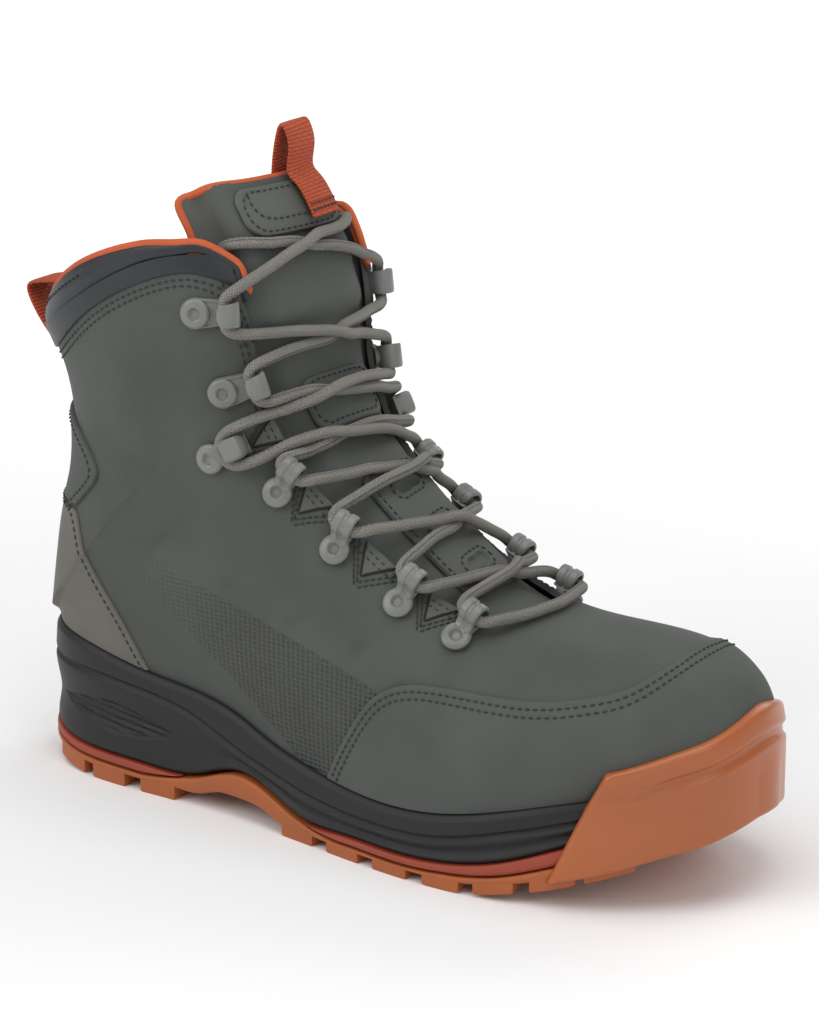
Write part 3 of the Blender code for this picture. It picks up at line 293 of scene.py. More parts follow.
def alongLine(line, distances):
    # Points at these distances back from the line's last point, and its length
    length = runOf(line)
    place = length[-1] - np.asarray(distances)
    return np.stack([np.interp(place, length, line[:, k]) for k in range(3)], 1), length[-1]


def throatHalf(at):
    if at <= boot["throatAt"]:
        return 0.0
    opening = min((at - boot["throatAt"]) / boot["throatRound"], 1.0)
    width = np.interp(at, *np.array(throatWidths).T) * boot["ballWidth"]
    return width * math.sqrt(1 - (1 - opening) ** 2)


# Camera where the photograph was taken from
cameraPlace = {
    "azimuth": 33.4,
    "elevation": 17.2,
    "distance": 1.5,
    "lens": 135.3,
    "lookAt": (0.0065, 0.0010, 0.1262),
}


def addCamera():
    a, e = math.radians(cameraPlace["azimuth"]), math.radians(cameraPlace["elevation"])
    back = Vector((math.sin(a) * math.cos(e), -math.cos(a) * math.cos(e), math.sin(e)))
    data = bpy.data.cameras.new("camera")
    data.lens = cameraPlace["lens"]
    data.sensor_width = 36
    data.clip_start, data.clip_end = 0.05, 20
    camera = bpy.data.objects.new("camera", data)
    bpy.context.scene.collection.objects.link(camera)
    camera.location = Vector(cameraPlace["lookAt"]) + back * cameraPlace["distance"]
    camera.rotation_mode = "QUATERNION"
    camera.rotation_quaternion = (-back).to_track_quat("-Z", "Y")
    bpy.context.scene.camera = camera


studio = {
    "floorSize": 6.0,
    "floorColour": (0.92, 0.92, 0.92),
    "farGlow": 0.75,
    "glowSpan": (0.35, 1.9),
    "worldStrength": 0.42,
    # name, place, size, power
    "lamps": (
        ("overhead", (0.1, -0.3, 1.6), 1.4, 12),
        ("keyLeft", (-0.9, -1.3, 1.1), 1.0, 11),
        ("fillToe", (1.4, -0.8, 0.9), 1.2, 6),
        ("rim", (0.3, 1.3, 1.0), 1.0, 6),
    ),
}


def addStudio():
    size = studio["floorSize"] / 2
    mesh = bpy.data.meshes.new("floor")
    mesh.from_pydata(
        [(-size, -size, 0), (size, -size, 0), (size, size, 0), (-size, size, 0)], [], [(0, 1, 2, 3)]
    )
    floor = bpy.data.objects.new("floor", mesh)
    bpy.context.scene.collection.objects.link(floor)
    paint = bpy.data.materials.new("floorPaint")
    paint.use_nodes = True
    shader = paint.node_tree.nodes["Principled BSDF"]
    shader.inputs["Base Color"].default_value = (*studio["floorColour"], 1)
    shader.inputs["Roughness"].default_value = 0.9
    # The far floor glows a little, so that it stays white behind the boot
    tree = paint.node_tree
    place, far, glow = (
        tree.nodes.new(kind)
        for kind in ("ShaderNodeTexCoord", "ShaderNodeVectorMath", "ShaderNodeMapRange")
    )
    far.operation = "LENGTH"
    tree.links.new(place.outputs["Object"], far.inputs[0])
    tree.links.new(far.outputs["Value"], glow.inputs["Value"])
    for name, value in (
        ("From Min", studio["glowSpan"][0]), ("From Max", studio["glowSpan"][1]), ("To Min", 0.0),
        ("To Max", studio["farGlow"])
    ):
        glow.inputs[name].default_value = value
    shader.inputs["Emission Color"].default_value = (1, 1, 1, 1)
    tree.links.new(glow.outputs["Result"], shader.inputs["Emission Strength"])
    mesh.materials.append(paint)
    world = bpy.data.worlds.new("studioWorld")
    world.use_nodes = True
    world.node_tree.nodes["Background"].inputs["Color"].default_value = (1, 1, 1, 1)
    world.node_tree.nodes["Background"].inputs["Strength"].default_value = studio["worldStrength"]
    bpy.context.scene.world = world
    bpy.context.scene.view_settings.view_transform = "Standard"
    for name, place, across, power in studio["lamps"]:
        light = bpy.data.lights.new(name, "AREA")
        light.size, light.energy = across, power
        lamp = bpy.data.objects.new(name, light)
        bpy.context.scene.collection.objects.link(lamp)
        lamp.location = place
        aim = Vector((0, 0, 0.1)) - Vector(place)
        lamp.rotation_mode = "QUATERNION"
        lamp.rotation_quaternion = aim.to_track_quat("-Z", "Y")


addCamera()
addStudio()
print("camera and studio ready")

# Materials, each read from Object coordinates or the piece's own UV map
finishes = {
    # name: colour, roughness, tone, grain size per metre, grain depth
    "nubuck": ((0.061, 0.067, 0.060), 0.74, 0.16, 620, 0.00022),
    "vampNubuck": ((0.069, 0.075, 0.067), 0.74, 0.14, 620, 0.00020),
    "counterHide": ((0.120, 0.112, 0.098), 0.66, 0.16, 760, 0.00016),
    "tongueCloth": ((0.074, 0.080, 0.072), 0.78, 0.12, 900, 0.00016),
    "insert": ((0.088, 0.094, 0.084), 0.80, 0.10, 1200, 0.00010),
    "cuffSkin": ((0.014, 0.017, 0.021), 0.50, 0.20, 900, 0.00010),
    "lining": ((0.480, 0.096, 0.030), 0.78, 0.12, 1400, 0.00012),
    "inside": ((0.050, 0.052, 0.052), 0.88, 0.15, 1400, 0.00012),
    "foam": ((0.010, 0.0105, 0.012), 0.55, 0.18, 1500, 0.00010),
    "gum": ((0.370, 0.098, 0.026), 0.50, 0.10, 420, 0.00008),
    "bumperRubber": ((0.380, 0.100, 0.026), 0.31, 0.07, 300, 0.00004),
    "redRubber": ((0.290, 0.050, 0.024), 0.52, 0.10, 420, 0.00008),
    "webbing": ((0.470, 0.075, 0.024), 0.72, 0.10, 1600, 0.00010),
    "lace": ((0.410, 0.388, 0.350), 0.70, 0.08, 2200, 0.00008),
    "metal": ((0.165, 0.171, 0.160), 0.34, 0.12, 700, 0.00003),
    "stitch": ((0.030, 0.033, 0.030), 0.70, 0.10, 2600, 0.00010),
    "seamShade": ((0.016, 0.017, 0.016), 0.90, 0.10, 1500, 0.00005),
}


def link(tree, source, output, target, name):
    tree.links.new(source.outputs[output], target.inputs[name])


def mathNode(tree, operation, first, second=None, third=None):
    node = tree.nodes.new("ShaderNodeMath")
    node.operation = operation
    for k, value in enumerate((first, second, third)):
        if value is None:
            continue
        if isinstance(value, (int, float)):
            node.inputs[k].default_value = value
        else:
            tree.links.new(value, node.inputs[k])
    return node.outputs[0]


def finish(name, coat=0.0, sheen=0.0):
    # Mottled colour, uneven roughness and a fine grain
    colour, roughness, tone, grain, depth = finishes[name]
    material = bpy.data.materials.new(name)
    material.use_nodes = True
    tree = material.node_tree
    shader = tree.nodes["Principled BSDF"]
    shader.inputs["Coat Weight"].default_value = coat
    shader.inputs["Coat Roughness"].default_value = 0.25
    shader.inputs["Sheen Weight"].default_value = sheen
    shader.inputs["Sheen Roughness"].default_value = 0.5
    shader.inputs["Specular IOR Level"].default_value = 0.4
    place = tree.nodes.new("ShaderNodeTexCoord")
    cloud = tree.nodes.new("ShaderNodeTexNoise")
    cloud.inputs["Scale"].default_value = 26
    cloud.inputs["Detail"].default_value = 5
    ramp = tree.nodes.new("ShaderNodeValToRGB")
    ramp.color_ramp.elements[0].position, ramp.color_ramp.elements[1].position = 0.30, 0.72
    ramp.color_ramp.elements[0].color = (*[c * (1 - tone) for c in colour], 1)
    ramp.color_ramp.elements[1].color = (*[c * (1 + tone) for c in colour], 1)
    link(tree, place, "Object", cloud, "Vector")
    link(tree, cloud, "Fac", ramp, "Fac")
    link(tree, ramp, "Color", shader, "Base Color")
    rough = mathNode(tree, "MULTIPLY_ADD", cloud.outputs["Fac"], 0.22, roughness - 0.11)
    tree.links.new(rough, shader.inputs["Roughness"])
    pores = tree.nodes.new("ShaderNodeTexNoise")
    pores.inputs["Scale"].default_value = grain
    pores.inputs["Detail"].default_value = 4
    pores.inputs["Roughness"].default_value = 0.65
    link(tree, place, "Object", pores, "Vector")
    bump = tree.nodes.new("ShaderNodeBump")
    bump.inputs["Strength"].default_value = 0.55
    bump.inputs["Distance"].default_value = depth
    link(tree, pores, "Fac", bump, "Height")
    link(tree, bump, "Normal", shader, "Normal")
    return material


def addRelief(material, height, depth, strength=1.0):
    # A second bump over the grain
    tree = material.node_tree
    grain = next(node for node in tree.nodes if node.bl_idname == "ShaderNodeBump")
    bump = tree.nodes.new("ShaderNodeBump")
    bump.inputs["Strength"].default_value = strength
    bump.inputs["Distance"].default_value = depth
    tree.links.new(height, bump.inputs["Height"])
    link(tree, grain, "Normal", bump, "Normal")
    link(tree, bump, "Normal", tree.nodes["Principled BSDF"], "Normal")


def uvParts(tree, name):
    uv = tree.nodes.new("ShaderNodeUVMap")
    uv.uv_map = name
    parts = tree.nodes.new("ShaderNodeSeparateXYZ")
    tree.links.new(uv.outputs["UV"], parts.inputs[0])
    return parts.outputs[0], parts.outputs[1]


knurl = {
    # side view, metres: the band's point at the heel, its upper and lower ends at the toe seam
    "heel": (0.042, 0.112),
    "top": (0.186, 0.0715),
    "bottom": (0.158, 0.024),
    "pitch": 0.0030,
    "slant": 0.62,
    "depth": 0.00075,
}


def addKnurl(material):
    # Diamond pattern between two slanting lines, fading towards the heel
    tree = material.node_tree
    x, z = uvParts(tree, "sideMap")

    def above(end):
        # Height over the line from the heel point to this end
        (x0, z0), (x1, z1) = knurl["heel"], end
        slope = (z1 - z0) / (x1 - x0)
        line = mathNode(tree, "MULTIPLY_ADD", x, slope, z0 - slope * x0)
        return mathNode(tree, "SUBTRACT", z, line)

    def step(value, start, width):
        moved = mathNode(tree, "MULTIPLY_ADD", value, 1 / width, -start / width)
        moved.node.use_clamp = True
        return moved

    below = mathNode(tree, "MULTIPLY", above(knurl["top"]), -1.0)
    mask = mathNode(tree, "MULTIPLY", step(below, 0.0, 0.001), step(above(knurl["bottom"]), 0.0, 0.001))
    mask = mathNode(tree, "MULTIPLY", mask, step(x, 0.062, 0.07))
    turn = 2 * math.pi / knurl["pitch"]
    waves = []
    for way in (1, -1):
        run = mathNode(tree, "MULTIPLY_ADD", x, turn * knurl["slant"] * way, 0.0)
        run = mathNode(tree, "MULTIPLY_ADD", z, turn * math.sqrt(1 - knurl["slant"] ** 2), run)
        waves.append(mathNode(tree, "SINE", run))
    height = mathNode(tree, "MULTIPLY", waves[0], waves[1])
    height = mathNode(tree, "MULTIPLY", mathNode(tree, "ADD", height, 1.0), mask)
    addRelief(material, height, knurl["depth"])


def addWeave(material, name, across, along, depth):
    # Plain weave on the piece's own UV map: threads per unit across and along
    tree = material.node_tree
    u, v = uvParts(tree, name)
    warp = mathNode(tree, "SINE", mathNode(tree, "MULTIPLY", u, across * math.pi))
    weft = mathNode(tree, "SINE", mathNode(tree, "MULTIPLY", v, along * math.pi))
    cells = mathNode(tree, "MULTIPLY", warp, weft)
    ribs = mathNode(tree, "ABSOLUTE", weft)
    height = mathNode(tree, "MULTIPLY_ADD", cells, 0.5, ribs)
    addRelief(material, height, depth)
    # painted shade: the colour darkens in the hollows between the threads
    paintHollowShade(material, height, 0.72, -0.5, 1.5)


def paintHollowShade(material, height, darkest, low, high):
    # Painted shade: darkens the colour where a height is low, standing in for shade in the hollows
    tree = material.node_tree
    shader = tree.nodes["Principled BSDF"]
    source = shader.inputs["Base Color"].links[0].from_socket
    span = tree.nodes.new("ShaderNodeMapRange")
    span.inputs["From Min"].default_value, span.inputs["From Max"].default_value = low, high
    span.inputs["To Min"].default_value, span.inputs["To Max"].default_value = darkest, 1.0
    tree.links.new(height, span.inputs["Value"])
    tint = tree.nodes.new("ShaderNodeVectorMath")
    tint.operation = "SCALE"
    tree.links.new(source, tint.inputs[0])
    tree.links.new(span.outputs[0], tint.inputs["Scale"])
    tree.links.new(tint.outputs[0], shader.inputs["Base Color"])


braid = {"ribs": 8, "pitch": 2.1, "depth": 0.0004}


def addBraid(material):
    # Chevrons round the cord, from its own map: u once round, v in millimetres along
    tree = material.node_tree
    u, v = uvParts(tree, "braidMap")
    fold = mathNode(tree, "PINGPONG", mathNode(tree, "MULTIPLY", u, braid["ribs"]), 0.5)
    run = mathNode(tree, "MULTIPLY_ADD", v, 1 / braid["pitch"], fold)
    wave = mathNode(tree, "SINE", mathNode(tree, "MULTIPLY", run, 2 * math.pi * 2))
    addRelief(material, wave, braid["depth"])
    # painted shade: the colour darkens in the grooves between the braid's chevrons
    paintHollowShade(material, wave, 0.55, -1.0, 0.6)


looks = {
    name: finish(name) for name in finishes if name not in ("bumperRubber", "nubuck", "metal", "cuffSkin")
}
looks["bumperRubber"] = finish("bumperRubber", coat=0.25)
looks["cuffSkin"] = finish("cuffSkin", coat=0.10)
looks["metal"] = finish("metal", coat=0.15)
looks["nubuck"] = finish("nubuck", sheen=0.05)
addKnurl(looks["nubuck"])
addWeave(looks["webbing"], "threadMap", 1.0, 1.0, 0.0005)
addBraid(looks["lace"])
print("finishes made:", len(looks))


# Mesh helpers
def makeMesh(name, points, faces, materials, spans=None, uv=None, uvName="sideMap", crease=38):
    # A closed mesh in the frame's place, its faces outwards; spans gives each face's material number
    origin = np.array(boot["origin"])
    mesh = bpy.data.meshes.new(name)
    mesh.from_pydata((np.asarray(points) + origin).tolist(), [], [list(map(int, f)) for f in faces])
    for material in materials if isinstance(materials, (list, tuple)) else [materials]:
        mesh.materials.append(material)
    if spans is not None:
        mesh.polygons.foreach_set("material_index", np.asarray(spans, np.int32))
    if uv is not None:
        layer = mesh.uv_layers.new(name=uvName)
        corners = np.empty(len(mesh.loops), np.int32)
        mesh.loops.foreach_get("vertex_index", corners)
        layer.data.foreach_set("uv", np.asarray(uv, np.float32)[corners].ravel())
    bm = bmesh.new()
    bm.from_mesh(mesh)
    bmesh.ops.recalc_face_normals(bm, faces=bm.faces)
    bm.to_mesh(mesh)
    bm.free()
    mesh.polygons.foreach_set("use_smooth", np.ones(len(mesh.polygons), bool))
    mesh.set_sharp_from_angle(angle=math.radians(crease))
    mesh.update()
    obj = bpy.data.objects.new(name, mesh)
    bpy.context.scene.collection.objects.link(obj)
    return obj


def settle(obj, slot, *nodes):
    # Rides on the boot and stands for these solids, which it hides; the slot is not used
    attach(obj, "root")
    if nodes:
        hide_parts(*nodes)
    return obj


def openEdges(faces):
    edges = set()
    for ring in faces:
        for m, b in enumerate(ring):
            edges.add((ring[m - 1], b))
    return [(a, b) for a, b in edges if (b, a) not in edges]


def sheetParts(top, bottom, faces):
    # Points and faces of a sheet between two surfaces with the same faces, closed round its edges
    used = sorted({k for ring in faces for k in ring})
    place = {k: m for m, k in enumerate(used)}
    faces = [[place[k] for k in ring] for ring in faces]
    top, bottom = np.asarray(top)[used], np.asarray(bottom)[used]
    count = len(used)
    edges = openEdges(faces)
    closed = faces + [[k + count for k in reversed(ring)] for ring in faces]
    closed += [[b, a, a + count, b + count] for a, b in edges]
    return np.concatenate([top, bottom]), closed, used, len(edges)


def closedSheet(name, top, bottom, faces, materials, uv=None, spans=None, **more):
    points, closed, used, edgeCount = sheetParts(top, bottom, faces)
    if spans == "inside":
        spans = [0] * len(faces) + [1] * len(faces) + [0] * edgeCount
    if uv is not None:
        uv = np.concatenate([np.asarray(uv)[used]] * 2)
    return makeMesh(name, points, closed, materials, spans, uv, **more)


def gridFaces(rows, columns):
    return [
        [i * columns + j, i * columns + j + 1, (i + 1) * columns + j + 1, (i + 1) * columns + j]
        for i in range(rows - 1)
        for j in range(columns - 1)
    ]


def gridNormals(grid):
    # For a grid whose rows run from toe to collar and columns from the outer to the inner side
    normal = np.cross(np.gradient(grid, axis=1), np.gradient(grid, axis=0))
    return unit(normal)


def loftFaces(count, ring):
    # Faces through loops of equal count, with a cap at each end
    faces = []
    for i in range(count - 1):
        for j in range(ring):
            k, n = (j + 1) % ring, i + 1
            faces.append([i * ring + j, i * ring + k, n * ring + k, n * ring + j])
    return faces + [list(range(ring))[::-1], [(count - 1) * ring + j for j in range(ring)]]


def sweepFrames(path):
    # Directions ahead, out and to the side at each point, carried along without twist
    path = np.asarray(path)
    ahead = unit(np.gradient(path, axis=0))
    outs = []
    last = np.array([0.3, 0.2, 1.0])
    for forward in ahead:
        last = last - forward * np.dot(last, forward)
        last /= np.linalg.norm(last)
        outs.append(last)
    outs = np.array(outs)
    return ahead, outs, np.cross(ahead, outs)


def resample(path, pitch):
    # Points at equal steps along a path
    path = np.asarray(path)
    length = runOf(path)
    count = max(int(round(length[-1] / pitch)), 2)
    at = np.linspace(0, length[-1], count + 1)
    return np.stack([np.interp(at, length, path[:, k]) for k in range(3)], 1)


def curveThrough(points, count):
    path = spline([(k, *p) for k, p in enumerate(points)])
    return np.array([path(t) for t in np.linspace(0, len(points) - 1, count)])


def roundTube(path, radius, sides=10):
    _, outs, across = sweepFrames(path)
    sizes = np.full(len(path), radius)
    sizes[0] = sizes[-1] = radius * 0.35
    angles = np.arange(sides) * 2 * math.pi / sides
    loops = [
        p + r * (np.cos(angles)[:, None] * o + np.sin(angles)[:, None] * a)
        for p, r, o, a in zip(np.asarray(path), sizes, outs, across)
    ]
    return np.concatenate(loops), loftFaces(len(loops), sides)


def joinedMesh(name, parts, materials, **more):
    # Several closed shapes as one piece
    points, faces, spans, shift = [], [], [], 0
    for part in parts:
        own, ownFaces, number = part if len(part) == 3 else (*part, 0)
        points.append(own)
        faces += [[k + shift for k in ring] for ring in ownFaces]
        spans += [number] * len(ownFaces)
        shift += len(own)
    return makeMesh(name, np.concatenate(points), faces, materials, spans, **more)


# Fine surface of the upper: the solid's own rows and columns, each in several steps
skinSteps = {"rowSteps": 9, "columnSteps": 8, "columns": 8, "easing": 4}


def coarseRows():
    start = boot["throatAt"]
    toe = np.linspace(boot["firstRow"], start, 10)
    foot = start + (1 - start) * np.linspace(0, 1, 14)[1:] ** 1.5
    return np.concatenate([toe, foot, np.linspace(1, 2, 8)[1:]])


def buildSkin():
    coarse = coarseRows()
    steps, n = skinSteps["rowSteps"], skinSteps["columns"] * skinSteps["columnSteps"]
    rows = np.interp(np.arange((len(coarse) - 1) * steps + 1) / steps, np.arange(len(coarse)), coarse)
    grids, backs = {}, {}
    for side in (lateral, medial):
        grid, back = [], []
        for at in rows:
            line = sectionLine(at, side, 60)
            _, length = alongLine(line, [0.0])
            places = np.linspace(length, throatHalf(at), n + 1)
            grid.append(alongLine(line, places)[0])
            back.append(places - throatHalf(at))
        grids[side], backs[side] = np.array(grid), np.array(back)
    # The widths are evened out where the sections turn from the sole's edge to the back seam
    near = np.flatnonzero((rows > 0.72) & (rows < 1.5))
    ramp = np.minimum(np.minimum(np.arange(n + 1), np.arange(n + 1)[::-1]) / skinSteps["columnSteps"], 1.0)
    for side in (lateral, medial):
        widths = grids[side][:, :, 1].copy()
        for _ in range(skinSteps["easing"] * steps**2):
            widths[near] = (widths[near - 1] + 2 * widths[near] + widths[near + 1]) / 4
        grids[side][:, :, 1] += ramp * (widths - grids[side][:, :, 1])
    index = np.arange(len(rows) * (2 * n + 2)).reshape(len(rows), -1)
    closed, heel = rows <= boot["throatAt"], rows >= 1
    index[closed, n + 1] = index[closed, n]
    index[heel, 2 * n + 1] = index[heel, 0]
    points = np.concatenate([grids[lateral], grids[medial][:, ::-1]], axis=1).reshape(-1, 3)
    back = np.concatenate([backs[lateral], backs[medial][:, ::-1]], axis=1).ravel()
    # Skirt under the feather line, tucked into the sole
    quads = []
    for i in range(len(rows) - 1):
        for j in [*range(n), *range(n + 1, 2 * n + 1)]:
            ring = [index[i, j], index[i, j + 1], index[i + 1, j + 1], index[i + 1, j]]
            quads.append([k for m, k in enumerate(ring) if k != ring[m - 1]])
    low = set(index[0]) | set(index[rows <= 1][:, [0, 2 * n + 1]].ravel())
    skirt, extra = {}, []
    for a, b in openEdges(quads):
        if a in low and b in low:
            for k in (a, b):
                if k not in skirt:
                    skirt[k] = len(points) + len(extra)
                    extra.append(points[k] - np.array([0, 0, boot["tuck"]]))
            quads.append([b, a, skirt[a], skirt[b]])
    keys = list(skirt)
    points = np.concatenate([points, extra])
    back = np.concatenate([back, back[keys]])
    at = np.concatenate([np.repeat(rows, 2 * n + 2), np.repeat(rows, 2 * n + 2)[keys]])
    normals = np.zeros_like(points)
    for ring in quads:
        p = points[ring]
        area = np.cross(p[1] - p[0], p[2] - p[0]) + (
            np.cross(p[2] - p[0], p[-1] - p[0]) if len(ring) > 3 else 0
        )
        for k in ring:
            normals[k] += area
    normals[list(skirt.values()), 2] = 0
    normals = unit(normals)
    if np.sum(normals * (points - points.mean(axis=0))) < 0:
        normals = -normals
    body = [ring for ring in quads if max(ring) < len(points) - len(extra)]
    return {"points": points, "normals": normals, "faces": quads, "body": body, "at": at, "back": back}


skin = buildSkin()
skinTree = BVHTree.FromPolygons([Vector(p) for p in skin["points"]], skin["faces"])
sideMap = skin["points"][:, [0, 2]]
print("upper's surface:", len(skin["faces"]), "faces")


creases = {
    # side view in metres: start, end, half width, depth; along the ankle, the heel and the flex of the vamp
    "troughs": (
        ((0.050, 0.150), (0.096, 0.128), 0.0055, 0.0012),
        ((0.056, 0.128), (0.104, 0.104), 0.0060, 0.0011),
        ((0.048, 0.176), (0.086, 0.168), 0.0060, 0.0006),
        ((0.150, 0.104), (0.128, 0.086), 0.0060, 0.0006),
        ((0.208, 0.088), (0.196, 0.066), 0.0055, 0.0006),
        ((0.222, 0.092), (0.214, 0.072), 0.0050, 0.0005),
    ),
    # notch, end of the dart: short marks over the knurled band
    "darts": (
        ((0.078, 0.1075), (0.0900, 0.1165)),
        ((0.113, 0.0970), (0.1245, 0.1050)),
        ((0.145, 0.0875), (0.1560, 0.0950)),
        ((0.175, 0.0820), (0.1850, 0.0895)),
    ),
    "dartWidth": 0.0030,
    "dartDepth": 0.0017,
}


def reliefOf(points):
    # How far the surface moves out, from the side view
    spots = points[:, [0, 2]]
    moved = np.zeros(len(points))

    def alongOf(start, end):
        start, end = np.array(start), np.array(end)
        line = end - start
        share = np.clip(((spots - start) @ line) / (line @ line), 0, 1)
        return share, np.linalg.norm(spots - (start + share[:, None] * line), axis=1)

    for start, end, width, depth in creases["troughs"]:
        share, far = alongOf(start, end)
        body = np.sin(math.pi * np.clip(share, 0.02, 0.98)) ** 0.7
        moved -= depth * body * np.exp(-((far / width) ** 2))
        moved += 0.45 * depth * body * np.exp(-(((far - 1.8 * width) / width) ** 2))
    for notch, end in creases["darts"]:
        share, far = alongOf(notch, end)
        width = creases["dartWidth"] * (1 - 0.45 * share)
        moved -= creases["dartDepth"] * (1 - share) ** 0.6 * np.exp(-((far / width) ** 2))
    return moved


def buildUpper():
    outer = skin["points"] + skin["normals"] * reliefOf(skin["points"])[:, None]
    inner = skin["points"] - skin["normals"] * boot["wall"]
    upper = closedSheet(
        "upperShell", outer, inner, skin["faces"], [looks["nubuck"], looks["inside"]], sideMap, "inside"
    )
    return settle(upper, "upper_fabric", "upper")


buildUpper()
print("upper made")


# Overlays cut from the upper's surface along side-view outlines: shares of sole length and of the rise
overlays = {
    "toeCap": {
        "edge": (
            (0.488, -0.060),
            (0.500, 0.000),
            (0.528, 0.088),
            (0.562, 0.174),
            (0.600, 0.222),
            (0.660, 0.240),
            (0.768, 0.243),
            (0.845, 0.262),
            (0.885, 0.283),
            (0.915, 0.330),
        ),
        "corners": ((0.925, 0.80), (1.20, 0.80), (1.20, -0.40), (0.488, -0.40)),
        "rows": (0.0, 0.62),
        "thick": 0.0012,
        "stitchRows": (0.0026, 0.0052),
    },
    "heelCounter": {
        "edge": (
            (0.212, 0.040), (0.204, 0.118), (0.163, 0.231), (0.127, 0.323), (0.110, 0.400), (0.103, 0.424)
        ),
        "corners": ((-0.10, 0.424), (-0.10, -0.30), (0.212, -0.30)),
        "rows": (0.55, 1.7),
        "thick": 0.0012,
        "stitchRows": (0.0022,),
    },
    "heelTab": {
        "edge": (
            (0.103, 0.434), (0.138, 0.488), (0.149, 0.536), (0.110, 0.590), (0.062, 0.621), (0.000, 0.630)
        ),
        "corners": ((-0.10, 0.630), (-0.10, 0.434)),
        "rows": (1.0, 2.0),
        "thick": 0.0016,
        "stitchRows": (0.0026,),
    },
}
bevelWidth = 0.0009


def outlineOf(piece):
    curve = spline([(k, *p) for k, p in enumerate(piece["edge"])])
    edge = [curve(t) for t in np.linspace(0, len(piece["edge"]) - 1, 8 * len(piece["edge"]))]
    size = np.array([boot["soleLength"], boot["upperRise"]])
    move = np.array([0.0, baseHeight])
    return np.array(edge) * size + move, np.array(edge + list(piece["corners"])) * size + move


def edgeDistance(spots, edge, loop):
    # Distance to the outline's cut edge, negative inside the loop
    best = np.full(len(spots), np.inf)
    for a, b in zip(edge, edge[1:]):
        line = b - a
        share = np.clip(((spots - a) @ line) / (line @ line), 0, 1)
        best = np.minimum(best, np.linalg.norm(spots - (a + share[:, None] * line), axis=1))
    inside = np.zeros(len(spots), bool)
    for a, b in zip(loop, np.roll(loop, -1, axis=0)):
        crosses = (a[1] > spots[:, 1]) != (b[1] > spots[:, 1])
        with np.errstate(divide="ignore", invalid="ignore"):
            x = a[0] + (spots[:, 1] - a[1]) * (b[0] - a[0]) / (b[1] - a[1])
        inside ^= crosses & (spots[:, 0] < x)
    return np.where(inside, -best, best)


def splitAt(table, faces, level):
    # Cuts triangles where the table's first column crosses the level, adding its points to the table
    rows, made, result = list(table), {}, []

    def cut(a, b):
        key = (min(a, b), max(a, b))
        if key not in made:
            low, high = rows[key[0]], rows[key[1]]
            share = (level - low[0]) / (high[0] - low[0])
            made[key] = len(rows)
            rows.append(low + (high - low) * share)
            rows[-1][0] = level
        return made[key]

    for ring in faces:
        signs = [rows[k][0] - level for k in ring]
        if min(signs) >= -1e-9 or max(signs) <= 1e-9:
            result.append(ring)
            continue
        below, above = [], []
        for m, b in enumerate(ring):
            a, sa, sb = ring[m - 1], signs[m - 1], signs[m]
            if sa * sb < 0:
                spot = cut(a, b)
                below.append(spot)
                above.append(spot)
            if sb <= 0:
                below.append(b)
            if sb >= 0:
                above.append(b)
        result += [part for part in (below, above) if len(part) > 2]
    return np.array(rows), result


def skinTable(value):
    return np.concatenate([value[:, None], skin["points"], skin["normals"], sideMap], axis=1)


def patchOnSkin(name, value, rows, thick, material):
    # Sheet over the part of the surface where the value is negative, its edge rounded down
    lift, bevel = boot["gap"], bevelWidth
    low, high = rows
    at = skin["at"]
    near = [ring for ring in skin["body"] if all(low <= at[k] <= high for k in ring) and min(value[ring]) < 0]
    table, faces = splitAt(skinTable(value), near, 0.0)
    table, faces = splitAt(table, faces, -bevel)
    table, faces = splitAt(table, faces, -0.35 * bevel)
    faces = [ring for ring in faces if np.mean(table[ring, 0]) < 0]
    depth = np.clip(-table[:, 0] / bevel, 0, 1)
    height = lift + thick * (0.35 + 0.65 * np.sqrt(1 - (1 - depth) ** 2))
    points, normals = table[:, 1:4], table[:, 4:7]
    normals = unit(normals)
    top, bottom = points + normals * height[:, None], points + normals * 0.4 * lift
    return closedSheet(name, top, bottom, faces, material, table[:, 7:9], crease=50)


seams = {}
for name, node, slot, look in (
    ("toeCap", "toe_cap", "upper_fabric", "vampNubuck"),
    ("heelCounter", "heel_counter", "counter", "counterHide"),
    ("heelTab", "heel_tab", "upper_fabric", "vampNubuck"),
):
    piece = overlays[name]
    edge, loop = outlineOf(piece)
    seams[name] = edgeDistance(sideMap, edge, loop)
    settle(patchOnSkin(name + "Panel", seams[name], piece["rows"], piece["thick"], looks[look]), slot, node)
print("overlays made")


# Stitches: rows of points with the surface's normal, one small thread link on each
stitching = {"pitch": 0.0031, "length": 0.0022, "radius": 0.00042, "raise": 0.00022}


def contourOnSkin(value, level, rows, both=False):
    # The surface's points where a value crosses a level, in order along the rows of each side
    n = skinSteps["columns"] * skinSteps["columnSteps"]
    width = 2 * n + 2
    count = len(coarseRows()) * skinSteps["rowSteps"] - skinSteps["rowSteps"] + 1
    paths = []
    for side in (lateral, medial):
        picked = slice(0, n + 1) if side < 0 else slice(n + 1, width)
        path = []
        for i in range(count):
            if not rows[0] <= skin["at"][i * width] <= rows[1]:
                continue
            spots = skin["points"][i * width : (i + 1) * width][picked]
            own = value[i * width : (i + 1) * width][picked] - level
            for j in np.flatnonzero(own[:-1] * own[1:] < 0):
                share = own[j] / (own[j] - own[j + 1])
                path.append(spots[j] + (spots[j + 1] - spots[j]) * share)
            if both and i + 1 < count:
                above = skin["points"][(i + 1) * width : (i + 2) * width][picked]
                other = value[(i + 1) * width : (i + 2) * width][picked] - level
                for j in np.flatnonzero(own * other < 0):
                    path.append(spots[j] + (above[j] - spots[j]) * own[j] / (own[j] - other[j]))
        paths.append(np.array(path))
    return paths


def onTree(path):
    # Points moved to the nearest surface, with its normals pointing the way the upper's own do
    spots, normals = [], []
    for point in path:
        spot, _, face, _ = skinTree.find_nearest(Vector(point))
        spots.append(spot)
        corners = skin["faces"][face]
        normal = skin["normals"][corners].mean(axis=0)
        normals.append(normal / np.linalg.norm(normal))
    return np.array(spots), np.array(normals)


threadRows = []


